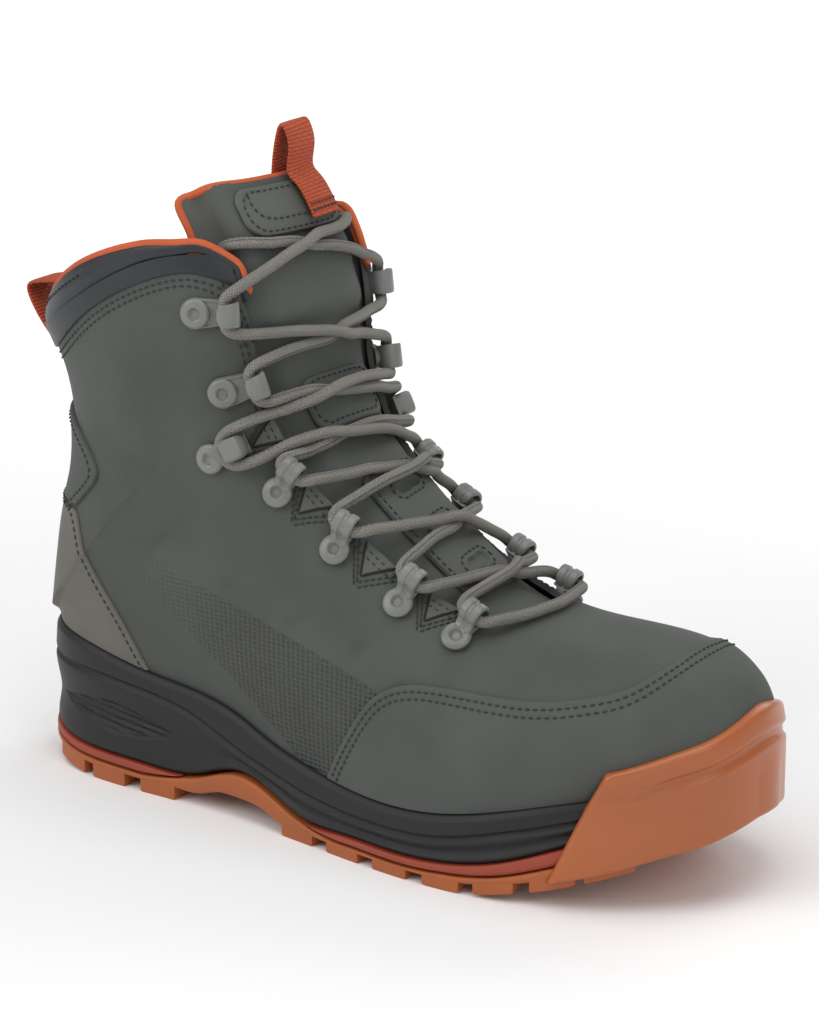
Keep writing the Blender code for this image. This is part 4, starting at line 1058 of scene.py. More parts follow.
def stitchAlong(path, lift=0.0, pitch=None, normals=None):
    # Normals: the surface's own, one for the whole row, or one for each point of an even path
    if np.ndim(normals) < 2:
        path = resample(path, pitch or stitching["pitch"])
    if len(path) < 3:
        return
    if normals is None:
        path, normals = onTree(path)
    normals = np.array([normals] * len(path)) if np.ndim(normals) == 1 else normals
    ahead = unit(np.gradient(path, axis=0))
    threadRows.append((path + normals * (lift + stitching["raise"]), normals, ahead))


def stitchTree():
    # Geometry Nodes: a thread link on every point, turned along its seam
    tree = bpy.data.node_groups.new("threadLinks", "GeometryNodeTree")
    face = tree.interface
    face.new_socket("Geometry", in_out="INPUT", socket_type="NodeSocketGeometry")
    length = face.new_socket("Length", in_out="INPUT", socket_type="NodeSocketFloat")
    radius = face.new_socket("Radius", in_out="INPUT", socket_type="NodeSocketFloat")
    thread = face.new_socket("Thread", in_out="INPUT", socket_type="NodeSocketMaterial")
    face.new_socket("Geometry", in_out="OUTPUT", socket_type="NodeSocketGeometry")
    start, end = tree.nodes.new("NodeGroupInput"), tree.nodes.new("NodeGroupOutput")
    ball = tree.nodes.new("GeometryNodeMeshUVSphere")
    ball.inputs["Segments"].default_value, ball.inputs["Rings"].default_value = 6, 5
    ball.inputs["Radius"].default_value = 1.0
    half = tree.nodes.new("ShaderNodeMath")
    half.operation = "MULTIPLY"
    half.inputs[1].default_value = 0.5
    size = tree.nodes.new("ShaderNodeCombineXYZ")
    shape = tree.nodes.new("GeometryNodeTransform")
    spots = tree.nodes.new("GeometryNodeInstanceOnPoints")
    turns = []
    for attribute, axis in (("facing", "Z"), ("ahead", "X")):
        source = tree.nodes.new("GeometryNodeInputNamedAttribute")
        source.data_type = "FLOAT_VECTOR"
        source.inputs["Name"].default_value = attribute
        turn = tree.nodes.new("FunctionNodeAlignRotationToVector")
        turn.axis = axis
        tree.links.new(source.outputs["Attribute"], turn.inputs["Vector"])
        turns.append(turn)
    turns[1].pivot_axis = "Z"
    tree.links.new(turns[0].outputs["Rotation"], turns[1].inputs["Rotation"])
    realize = tree.nodes.new("GeometryNodeRealizeInstances")
    paint = tree.nodes.new("GeometryNodeSetMaterial")
    for source, output, target, name in (
        (start, "Length", half, 0),
        (half, 0, size, "X"),
        (start, "Radius", size, "Y"),
        (start, "Radius", size, "Z"),
        (ball, "Mesh", shape, "Geometry"),
        (size, 0, shape, "Scale"),
        (start, "Geometry", spots, "Points"),
        (shape, "Geometry", spots, "Instance"),
        (turns[1], "Rotation", spots, "Rotation"),
        (spots, "Instances", realize, "Geometry"),
        (realize, "Geometry", paint, "Geometry"),
        (start, "Thread", paint, "Material"),
        (paint, "Geometry", end, "Geometry"),
    ):
        tree.links.new(source.outputs[output], target.inputs[name])
    return tree, {"length": length.identifier, "radius": radius.identifier, "thread": thread.identifier}


def sewAll():
    tree, sockets = stitchTree()
    points, facing, ahead = (np.concatenate([row[k] for row in threadRows]) for k in range(3))
    mesh = bpy.data.meshes.new("stitchPoints")
    mesh.from_pydata((points + np.array(boot["origin"])).tolist(), [], [])
    for name, values in (("facing", facing), ("ahead", ahead)):
        mesh.attributes.new(name, "FLOAT_VECTOR", "POINT").data.foreach_set("vector", values.ravel())
    seeds = bpy.data.objects.new("stitchPoints", mesh)
    bpy.context.scene.collection.objects.link(seeds)
    modifier = seeds.modifiers.new("threadLinks", "NODES")
    modifier.node_group = tree
    modifier[sockets["length"]] = stitching["length"]
    modifier[sockets["radius"]] = stitching["radius"]
    modifier[sockets["thread"]] = looks["stitch"]
    bpy.context.view_layer.update()
    made = bpy.data.meshes.new_from_object(seeds.evaluated_get(bpy.context.evaluated_depsgraph_get()))
    bpy.data.objects.remove(seeds)
    for attribute in list(made.attributes):
        if attribute.name in ("facing", "ahead"):
            made.attributes.remove(attribute)
    made.polygons.foreach_set("use_smooth", np.ones(len(made.polygons), bool))
    thread = bpy.data.objects.new("stitchRows", made)
    bpy.context.scene.collection.objects.link(thread)
    settle(thread, "upper_fabric")
    print("stitch rows:", len(threadRows), "links:", len(points))


# Black band at the collar, its lower edge in side view from the heel's back round the leather's front corner
collarBand = {
    "edge": (
        (-0.020, 0.1700),
        (0.003, 0.1725),
        (0.025, 0.1810),
        (0.0535, 0.2030),
        (0.086, 0.2190),
        (0.102, 0.2200),
        (0.1125, 0.2150),
        (0.1195, 0.2020),
        (0.1230, 0.1850),
    ),
    "corners": ((0.16, 0.185), (0.16, 0.30), (-0.05, 0.30), (-0.05, 0.170)),
    "rows": (1.30, 2.0),
    "thick": 0.0009,
    "stitchRows": (0.0024, 0.0048),
}


def buildCollarBand():
    curve = spline([(k, *p) for k, p in enumerate(collarBand["edge"])])
    edge = np.array([curve(t) for t in np.linspace(0, len(collarBand["edge"]) - 1, 70)])
    seams["collarBand"] = edgeDistance(sideMap, edge, np.concatenate([edge, collarBand["corners"]]))
    band = patchOnSkin(
        "collarBand", seams["collarBand"], collarBand["rows"], collarBand["thick"], looks["cuffSkin"]
    )
    settle(band, "cuff")


buildCollarBand()


def chains(points, reach=0.004):
    # Joins scattered contour points to rows, each to its nearest neighbour
    left, rows = list(points), []
    while left:
        row = [left.pop(0)]
        for end in (-1, 0):
            while left:
                far = np.linalg.norm(np.array(left) - row[end], axis=1)
                k = int(np.argmin(far))
                if far[k] > reach:
                    break
                row.insert(len(row) if end else 0, left.pop(k))
        if len(row) > 6:
            row = resample(row, 0.0025)
            row = evened(row, 2)
            rows.append(row)
    return rows


for name, piece in (*overlays.items(), ("collarBand", collarBand)):
    outward = -1 if name == "collarBand" else 1
    for inset in piece["stitchRows"]:
        paths = contourOnSkin(seams[name], -inset * outward, piece["rows"], both=name != "toeCap")
        if name == "toeCap":
            paths = [np.concatenate([paths[0][::-1], paths[1]])]
        else:
            paths = [row for path in paths for row in chains(path)]
        for path in paths:
            if len(path) > 2:
                stitchAlong(path, boot["gap"] + piece["thick"] if outward > 0 else 0.0)


def skinSpot(at, back, side):
    # Point of the surface this far back from the throat's edge
    return alongLine(sectionLine(at, side, 40), [throatHalf(at) + back])[0][0]


# Seams along throat and collar, then the notches between the eyelets
eyestay = {
    "rows": (0.0030, 0.0056),
    "from": 0.415,
    "to": 1.86,
    # sections of the notches, distance of their point from the throat, half opening as a section change
    "notches": (
        (0.720, 0.0135, 0.034), (0.592, 0.0130, 0.020), (0.514, 0.0125, 0.017), (0.448, 0.0120, 0.015)
    ),
}


def sewEyestay():
    edges, patches = [], []
    for side in (lateral, medial):
        for back in eyestay["rows"]:
            ats = np.linspace(eyestay["from"], eyestay["to"], 90)
            stitchAlong([skinSpot(at, back, side) for at in ats])
        for at, deep, half in eyestay["notches"]:
            point = (at + 0.35 * half, deep)
            arms = [(at - half, 0.0004), (at + half, 0.0004)]
            grid = []
            for a in np.linspace(0, 1, 9):
                ends = [np.array(point) + (np.array(arm) - point) * a for arm in arms]
                grid.append(
                    [skinSpot(*(ends[0] + (ends[1] - ends[0]) * b), side) for b in np.linspace(0, 1, 9)]
                )
            spots, normals = onTree(np.array(grid).reshape(-1, 3))
            rows = np.arange(81).reshape(9, 9).tolist()
            faces = [
                [rows[r][c], rows[r][c + 1], rows[r + 1][c + 1], rows[r + 1][c]]
                for r in range(1, 8) for c in range(8)
            ]
            faces += [[0, rows[1][c + 1], rows[1][c]] for c in range(8)]
            patches.append((spots, normals, faces if side < 0 else [f[::-1] for f in faces]))
            for arm in arms:
                path = [
                    skinSpot(*(np.array(point) + (np.array(arm) - point) * t), side)
                    for t in np.linspace(0, 1, 12)
                ]
                spots, normals = onTree(path)
                edges.append(roundTube(spots + normals * 0.0002, 0.00055, 6))
                for out in (0.0020, 0.0040):
                    way = 1 if arm[0] > at else -1
                    shift = way * out * half / 0.0065
                    tip = (point[0] + 0.3 * shift, point[1] + 0.9 * out)
                    start, stop = np.array(tip), np.array((arm[0] + shift, arm[1] + 0.002))
                    stitchAlong(
                        [skinSpot(*(start + (stop - start) * t), side) for t in np.linspace(0, 1, 12)],
                        pitch=0.0024
                    )
    settle(joinedMesh("notchEdges", edges, looks["seamShade"]), "upper_fabric")
    parts = [sheetParts(p + n * 0.00035, p - n * 0.0004, faces)[:2] for p, n, faces in patches]
    settle(joinedMesh("notchInserts", parts, looks["insert"]), "upper_fabric")


sewEyestay()
print("seams laid")


# Padded cuff on the collar with its orange lining and binding
cuff = {
    "height": 0.0135,
    "thick": 0.0085,
    "sides": 28,
    "bindingRadius": 0.0016,
    "pitch": 0.0026,
    # where the pad grows to its full size, its lean upwards, depth below and past the leather's edge
    "taper": (0.016, 0.085),
    "lean": 0.22,
    "sink": 0.0014,
    "proud": 0.0015,
    # along the leather's edge: down the throat to this section, then sizes there
    "throatFrom": 1.66,
    "throatHeight": 0.0034,
    "throatThick": 0.0042,
}


def collarPath():
    # The leather's edge from the throat, round the corner and along the collar to the heel, both sides
    rings = []
    n = skinSteps["columns"] * skinSteps["columnSteps"]
    last = (len(coarseRows()) - 1) * skinSteps["rowSteps"] * (2 * n + 2)
    points, backs = (skin[name][last : last + 2 * n + 2] for name in ("points", "back"))
    for side in (lateral, medial):
        throat = [skinSpot(at, 0.0002, side) for at in np.linspace(cuff["throatFrom"], 1.90, 7)]
        top = slice(n, None, -1) if side < 0 else slice(n + 1, None)
        collar = points[top][backs[top] > 0.0085]
        picked = np.linspace(0, len(collar) - 1, 14).astype(int)
        rings.append(throat + list(collar[picked]))
    return resample(curveThrough(rings[0] + rings[1][::-1][1:], 300), cuff["pitch"])


def buildCuff():
    path = collarPath()
    total = len(path)
    _, normals = onTree(path)
    normals = evened(normals, 6)
    ahead = unit(np.gradient(path, axis=0))
    loops, beads, lines = [], [], []
    way = 1 if np.cross(ahead[total // 2], normals[total // 2])[2] > 0 else -1
    run = np.minimum(np.arange(total), np.arange(total)[::-1]) * cuff["pitch"]
    for point, forward, out, far in zip(path, ahead, normals, run):
        share = smooth((far - cuff["taper"][0]) / cuff["taper"][1])
        out = out * (1, 1, 1 - share) + (0, 0, cuff["lean"] * share)
        up = np.cross(forward, out) * way
        up /= np.linalg.norm(up)
        out = np.cross(up, forward) * way
        out /= np.linalg.norm(out)
        high = cuff["throatHeight"] + (cuff["height"] - cuff["throatHeight"]) * share
        thick = cuff["throatThick"] + (cuff["thick"] - cuff["throatThick"]) * share
        thick *= 0.4 + 0.6 * smooth(far / 0.008)
        centre = point + up * (high / 2 - cuff["sink"] * share) - out * (thick / 2 - cuff["proud"])
        loop = []
        for a in 2 * math.pi * np.arange(cuff["sides"]) / cuff["sides"]:
            cos, sin = math.cos(a), math.sin(a)
            dip = 0.0007 * share * math.exp(-(((a - 0.30) / 0.16) ** 2))
            flat = math.copysign(abs(cos) ** 0.75, cos) * (1 - 2 * dip / thick)
            loop.append(centre + out * thick / 2 * flat + up * high / 2 * math.copysign(abs(sin) ** 0.8, sin))
        loops.append(loop)
        beads.append(centre + out * thick * 0.12 + up * (high * 0.5 + 0.0001))
        if share > 0.9:
            lines.append((centre + out * (thick / 2 * 0.93) + up * high * 0.14, out))
    points, faces = np.concatenate(loops), loftFaces(total, cuff["sides"])
    spans = [
        1 if cuff["sides"] * 0.30 < m % cuff["sides"] < cuff["sides"] * 0.56 else 0
        for m in range(len(faces) - 2)
    ]
    pad = makeMesh(
        "collarPad", points, faces, [looks["cuffSkin"], looks["lining"]], spans + [0, 0], crease=60
    )
    settle(pad, "cuff", "collar_cuff")
    rows = resample([p for p, _ in lines], stitching["pitch"])
    outs = np.array([lines[int(round(k * (len(lines) - 1) / (len(rows) - 1)))][1] for k in range(len(rows))])
    stitchAlong(rows, normals=outs)
    whole = resample(curveThrough(resample(beads[1:-1], 0.006), 200), 0.0016)
    settle(joinedMesh("collarBinding", [roundTube(whole, cuff["bindingRadius"])], looks["lining"]), "cuff")


buildCuff()
print("cuff made")


# Tongue, its binding and panels
tongueSizes = {
    "from": 0.335,
    "to": 2.47,
    "thick": 0.0052,
    "edgeThick": 0.0018,
    "cornerDrop": 0.13,
    "rows": 150,
    "columns": 41,
    "cuffThick": 0.009,
    "bindingRadius": 0.0017,
    "bindingFrom": 1.90,
}


def tongueHalf(at):
    start = boot["throatAt"] + boot["throatRound"]
    base = throatHalf(max(at, start)) if at < 2 else throatWidths[-1][1] * boot["ballWidth"]
    edge = 0.0055 + 0.0025 * smooth((at - 0.4) / 0.4) + 0.0062 * smooth((at - 1.80) / 0.24)
    if at > 2:
        end = (at - 2.0) / (tongueSizes["to"] - 2.0)
        return (base + edge) * math.sqrt(max(1 - 0.16 * end**4, 0))
    return base + edge


def tongueDepth(at, share):
    # How far under the upper's outer surface the tongue's own face lies
    under = -(boot["wall"] + boot["gap"] + 0.0016)
    if at <= boot["throatAt"]:
        return under
    gap = throatHalf(min(at, 2.0)) / tongueHalf(at)
    inside = smooth((gap - 0.10 - abs(share)) / 0.22)
    lift = 0.0020 * smooth((at - boot["throatAt"] - 0.03) / 0.1)
    tucked = smooth((at - 1.72) / 0.2) * smooth((abs(share) - gap + 0.16) / 0.14)
    return under + lift * inside - (tongueSizes["cuffThick"] - 0.001) * tucked


def stripPoints(rows, half, shares):
    # Grid over the ridge, from the outer side to the inner side
    grid = np.empty((len(rows), len(shares), 3))
    for i, at in enumerate(rows):
        width = half(at)
        for side, picked in ((lateral, shares < 0), (medial, shares >= 0)):
            grid[i, picked] = alongLine(sectionLine(at, side, 40), abs(shares[picked]) * width)[0]
    return grid


def tongueFace(rows, half, shares, out=0.0):
    # Grid and normals on the tongue's own face
    grid = stripPoints(rows, half, shares)
    normals = gridNormals(grid)
    for i, at in enumerate(rows):
        wide = half(at) / tongueHalf(at)
        depth = np.array([tongueDepth(at, share * wide) for share in shares])
        grid[i] += normals[i] * (depth + out)[:, None]
    return grid, normals


def buildTongue():
    low, high = tongueSizes["from"], tongueSizes["to"]
    shares = np.sin(np.linspace(-math.pi / 2, math.pi / 2, tongueSizes["columns"]))
    rows = np.linspace(low, high, tongueSizes["rows"])
    face, normals = tongueFace(rows, tongueHalf, shares)
    # The top corners are rounded: each column ends on its own section
    grid, out, ats = np.empty_like(face), np.empty_like(face), np.empty(face.shape[:2])
    for j, share in enumerate(shares):
        ats[:, j] = np.linspace(low, high - tongueSizes["cornerDrop"] * abs(share) ** 5, len(rows))
        for k in range(3):
            grid[:, j, k] = np.interp(ats[:, j], rows, face[:, j, k])
            out[:, j, k] = np.interp(ats[:, j], rows, normals[:, j, k])
    row = np.linspace(0, 1, len(rows))[:, None]
    ends = smooth(np.minimum(row, 1 - row) / 0.03)
    sides = smooth((1 - abs(shares)) / 0.16)[None]
    body = tongueSizes["thick"] - tongueSizes["edgeThick"]
    thick = tongueSizes["edgeThick"] + body * sides * (0.4 + 0.6 * ends)
    # Padding: soft swells between the panels
    window = smooth((ats - 0.9) / 0.2) * smooth((2.1 - ats) / 0.2)
    swell = 0.0006 * np.cos(2 * math.pi * (ats - 0.9) / 0.55) * sides * window
    top = grid + out * swell[:, :, None]
    bottom = grid - out * thick[:, :, None]
    uv = np.stack([np.broadcast_to(shares, ats.shape), ats], 2).reshape(-1, 2)
    faces = gridFaces(*ats.shape)
    body = closedSheet(
        "tonguePad",
        top.reshape(-1, 3),
        bottom.reshape(-1, 3),
        faces,
        [looks["tongueCloth"], looks["lining"]],
        uv,
        "inside",
        uvName="clothMap",
        crease=60,
    )
    settle(body, "tongue_fabric", "tongue")
    first = int(np.searchsorted(ats[:, 0], tongueSizes["bindingFrom"]))
    middle = (top + bottom) / 2
    edge = [*middle[first:, 0], *middle[-1, 1:-1], *middle[first:, -1][::-1]]
    path = resample(edge, 0.0016)
    path = evened(path, 3)
    bead = roundTube(path, tongueSizes["bindingRadius"], 12)
    settle(joinedMesh("tongueBinding", [bead], looks["lining"]), "webbing")


buildTongue()

panels = {
    # node's last word: lowest and highest section, half width, corner radius, finish
    "instep": (0.430, 0.575, 0.0185, 0.007, "tongueCloth"),
    "mid": (0.640, 0.800, 0.0200, 0.006, "tongueCloth"),
    "top": (2.120, 2.420, 0.0250, 0.008, "insert"),
}
panelShape = {"thick": 0.0014, "bevel": 0.0008, "inset": 0.0022, "step": 0.0009}
slots = {
    # across half length, half height, depth; places along the instep panel as shares of it
    "half": 0.0075,
    "radius": 0.0027,
    "depth": 0.0011,
    "rim": 0.0008,
    "places": (0.20, 0.50, 0.80),
    "turn": 0.12,
}


def buildPanel(name):
    low, high, half, corner, look = panels[name]
    step = panelShape["step"]
    probe = tongueFace(
        np.linspace(low, high, 30), lambda at: half, np.array([-0.02, 0.0, 0.02]), 0.0
    )[0][:, 1]
    length = np.linalg.norm(np.diff(probe, axis=0), axis=1).sum()
    rows = np.linspace(low, high, int(length / step) + 2)
    shares = np.linspace(-1, 1, int(2 * half / step) + 2)
    grid, normals = tongueFace(rows, lambda at: half, shares, 4 * boot["gap"])
    along, across = np.meshgrid(np.linspace(0, length, len(rows)), shares * half, indexing="ij")
    # Rounded rectangle, with the slots pressed in
    dx = np.abs(across) - (half - corner)
    dy = np.abs(along - length / 2) - (length / 2 - corner)
    value = np.hypot(np.maximum(dx, 0), np.maximum(dy, 0)) + np.minimum(np.maximum(dx, dy), 0) - corner
    table = np.concatenate([value.reshape(-1, 1), grid.reshape(-1, 3), normals.reshape(-1, 3)], 1)
    table = np.concatenate([table, across.reshape(-1, 1), along.reshape(-1, 1)], 1)
    faces = gridFaces(*value.shape)
    table, faces = splitAt(table, faces, 0.0)
    table, faces = splitAt(table, faces, -panelShape["bevel"])
    faces = [ring for ring in faces if np.mean(table[ring, 0]) < 0]
    depth = np.clip(-table[:, 0] / panelShape["bevel"], 0, 1)
    height = panelShape["thick"] * (0.25 + 0.75 * np.sqrt(1 - (1 - depth) ** 2))
    if name == "instep":
        for share in slots["places"]:
            away = slotDistance(table[:, 7], table[:, 8], share * length)
            height -= slots["depth"] * smooth(-away / slots["rim"])
            height += 0.0004 * np.exp(-((away / 0.0008) ** 2))
    points, out = table[:, 1:4], table[:, 4:7]
    sheet = closedSheet(
        {"instep": "instepPanel", "mid": "shinPanel", "top": "ripstopPanel"}[name],
        points + out * height[:, None],
        points,
        faces,
        looks[look],
        table[:, 7:9] * 100,
        uvName="clothMap",
        crease=50,
    )
    settle(sheet, "ripstop" if name == "top" else "tongue_fabric", "tongue_panel_" + name)

    def place(u, v):
        i = np.clip(v / length * (len(rows) - 1), 0, len(rows) - 1.001)
        j = np.clip((u / half + 1) / 2 * (len(shares) - 1), 0, len(shares) - 1.001)
        a, b = int(i), int(j)
        f, g = i - a, j - b
        corners = (
            (a, b, (1 - f) * (1 - g)), (a, b + 1, (1 - f) * g), (a + 1, b, f * (1 - g)),
            (a + 1, b + 1, f * g)
        )
        return [sum(w * field[r, c] for r, c, w in corners) for field in (grid, normals)]

    def sew(loop, lift):
        spots = [place(u, v) for u, v in loop]
        path = np.array([p + n * lift for p, n in spots])
        even = resample(path, stitching["pitch"])
        near = [int(np.argmin(np.linalg.norm(path - p, axis=1))) for p in even]
        stitchAlong(even, normals=np.array([spots[k][1] for k in near]))

    def roundedLoop(wide, tall, radius, middle):
        angles = np.linspace(0, 2 * math.pi, 65)
        squared = [
            (
                math.copysign(wide - radius, math.cos(a)) + radius * math.cos(a),
                middle + math.copysign(tall - radius, math.sin(a)) + radius * math.sin(a),
            )
            for a in angles
        ]
        return np.array(squared)

    inset = panelShape["inset"]
    loop = roundedLoop(half - inset, length / 2 - inset, corner - 0.3 * inset, length / 2)
    loop = resample(np.column_stack([loop, np.zeros(len(loop))]), 0.001)[:, :2]
    sew(loop, panelShape["thick"])
    if name == "instep":
        for share in slots["places"]:
            ring = roundedLoop(
                slots["half"] + 0.0022, slots["radius"] + 0.0022, slots["radius"] + 0.0020, share * length
            )
            ring[:, 1] += slots["turn"] * ring[:, 0]
            sew(resample(np.column_stack([ring, np.zeros(len(ring))]), 0.0008)[:, :2], panelShape["thick"])
    if name == "top":
        # The U-shaped seam that frames the ripstop
        wide, tall = half - 0.0062, length - 0.004
        sides = [
            (-wide, tall), (-wide, 0.012), (-wide + 0.005, 0.0075), (0.0, 0.0068), (wide - 0.005, 0.0075),
            (wide, 0.012)
        ]
        bend = curveThrough([(u, v, 0.0) for u, v in [*sides, (wide, tall)]], 80)
        sew(bend[:, :2], panelShape["thick"])


def slotDistance(u, v, middle):
    # Distance to a slot's outline, negative inside it
    v = v - middle - slots["turn"] * u
    return np.hypot(np.maximum(np.abs(u) - (slots["half"] - slots["radius"]), 0), v) - slots["radius"]


for name in panels:
    buildPanel(name)
print("tongue made")


# Pull loops: webbing over the tongue's top and over the back of the cuff
pullLoops = {
    "width": 0.017, "thick": 0.0018, "side": 0.25, "rise": 0.0165, "sections": (2.18, 2.28, 2.38, 2.46)
}


def webbing(name, path, slot, node):
    width, thick = pullLoops["width"], pullLoops["thick"]
    path = resample(path, 0.0009)
    forward = unit(np.gradient(path, axis=0))
    side = np.array([0.0, 1.0, 0.0]) - forward * forward[:, 1:2]
    side /= np.linalg.norm(side, axis=1, keepdims=True)
    out = np.cross(side, forward)
    profile = []
    for a in np.linspace(0, 2 * math.pi, 24, endpoint=False):
        u = math.copysign(abs(math.cos(a)) ** 0.35, math.cos(a))
        profile.append((u * width / 2, math.copysign(abs(math.sin(a)) ** 0.6, math.sin(a)) * thick / 2))
    loops = [[p + s * u + o * v for u, v in profile] for p, s, o in zip(path, side, out)]
    run = np.arange(len(path)) * 0.0009
    uv = [(u * 1000 / 2.2, v * 1000 / 1.5) for v in run for u, _ in profile]
    obj = makeMesh(
        name, np.concatenate(loops), loftFaces(len(loops), 24), looks["webbing"], None, uv, "threadMap", 60
    )
    settle(obj, slot, node)
    return path, side, out


def tonguePoint(at, share, out):
    return tongueFace(
        [at - 0.01, at, at + 0.01], tongueHalf, np.array([share - 0.05, share, share + 0.05]), out
    )[0][1, 1]


def buildLoops():
    gap, thick = boot["gap"], pullLoops["thick"]
    share = pullLoops["side"]
    off = panelShape["thick"] + 8 * gap + thick / 2
    path = [tonguePoint(at, share, off) for at in pullLoops["sections"]]
    top, back = path[-1], tonguePoint(2.42, share, -tongueSizes["thick"] - 6 * gap - thick)
    rise = np.array([0.0, 0.0, pullLoops["rise"]])
    path += [
        top + 0.5 * rise + (0.0008, 0, 0), top + 0.93 * rise - (0.0008, 0, 0), top + rise - (0.0042, 0, 0)
    ]
    path += [back + (0.0, 0.0, 0.012), back]
    path, side, out = webbing("tonguePullLoop", curveThrough(path, 60), "webbing", "tongue_pull_loop")
    for k in (3, 6):
        row = [path[k] + side[k] * u for u in np.linspace(-0.0072, 0.0072, 8)]
        facing = out[k] * (1 if out[k][0] > 0 else -1)
        stitchAlong(row, thick / 2, 0.0024, facing)
    foot = sectionLine(2.0, lateral)[0]
    clear = thick / 2 + 4 * gap
    high = cuff["height"]
    path = [
        (0.0030 - clear, -0.0105), (-0.0045 - clear, -0.0030), (-0.0105 - clear, 0.0055),
        (-0.0128 - clear, 0.0112)
    ]
    path += [
        (-0.0100 - clear, 0.0142), (-0.0020, high + 0.0024), (0.0050, high + 0.0032),
        (cuff["thick"] + 0.001, high + 0.0014)
    ]
    path = [foot + (x, 0, z) for x, z in path]
    path, side, out = webbing("heelPullLoop", curveThrough(path, 50), "webbing", "heel_pull_loop")
    row = [path[3] + side[3] * u for u in np.linspace(-0.0072, 0.0072, 8)]
    facing = out[3] * (1 if out[3][0] < 0 else -1)
    stitchAlong(row, thick / 2, 0.0024, facing)


buildLoops()
print("pull loops made")


# Lace hardware: a riveted base whose strip turns over the lace
hardware = {
    "eyelets": (
        # name, rivet's section, its distance from the throat, ring's section, its distance,
        # then on the inner side the change of section and of distance
        ("1", 0.635, 0.0140, 0.632, 0.0010, -0.040, 0.0),
        ("2", 0.550, 0.0120, 0.550, -0.0010, -0.018, 0.0),
        ("3", 0.480, 0.0115, 0.477, -0.0015, -0.014, 0.0),
        ("4", 0.420, 0.0125, 0.415, -0.0005, -0.014, 0.0),
    ),
    "hooks": (
        # the same columns
        ("1", 1.690, 0.0190, 1.620, 0.0045, -0.050, 0.0),
        ("2", 1.010, 0.0170, 0.900, 0.0020, -0.050, 0.0),
        ("3", 0.795, 0.0320, 0.755, 0.0170, -0.065, -0.0115),
    ),
    "ringInner": 0.0033,
    "ringWall": 0.0017,
    "reach": {"eyelet": 0.0105, "hook": 0.0140},
    "width": {"eyelet": 0.0082, "hook": 0.0092},
    "baseRadius": 0.0056,
    "stemRadius": 0.0022,
    # base in section, millimetres: distance from the rivet's middle, height
    "baseSection": (
        (0.0, 0.7), (1.5, 0.6), (2.0, 1.0), (2.5, 1.9), (3.1, 2.2), (3.9, 1.9), (4.7, 1.9), (5.4, 1.6),
        (5.9, 0.9), (5.9, 0.0),
    ),
    # strip in section: across as a share of the half width, out in millimetres
    "stripSection": (
        (-1.0, -0.6), (-1.0, 0.35), (-0.86, 0.80), (-0.28, 0.92), (-0.10, 0.38),
        (0.10, 0.38), (0.28, 0.92), (0.86, 0.80), (1.0, 0.35), (1.0, -0.6), (0.8, -0.85), (-0.8, -0.85),
    ),
}


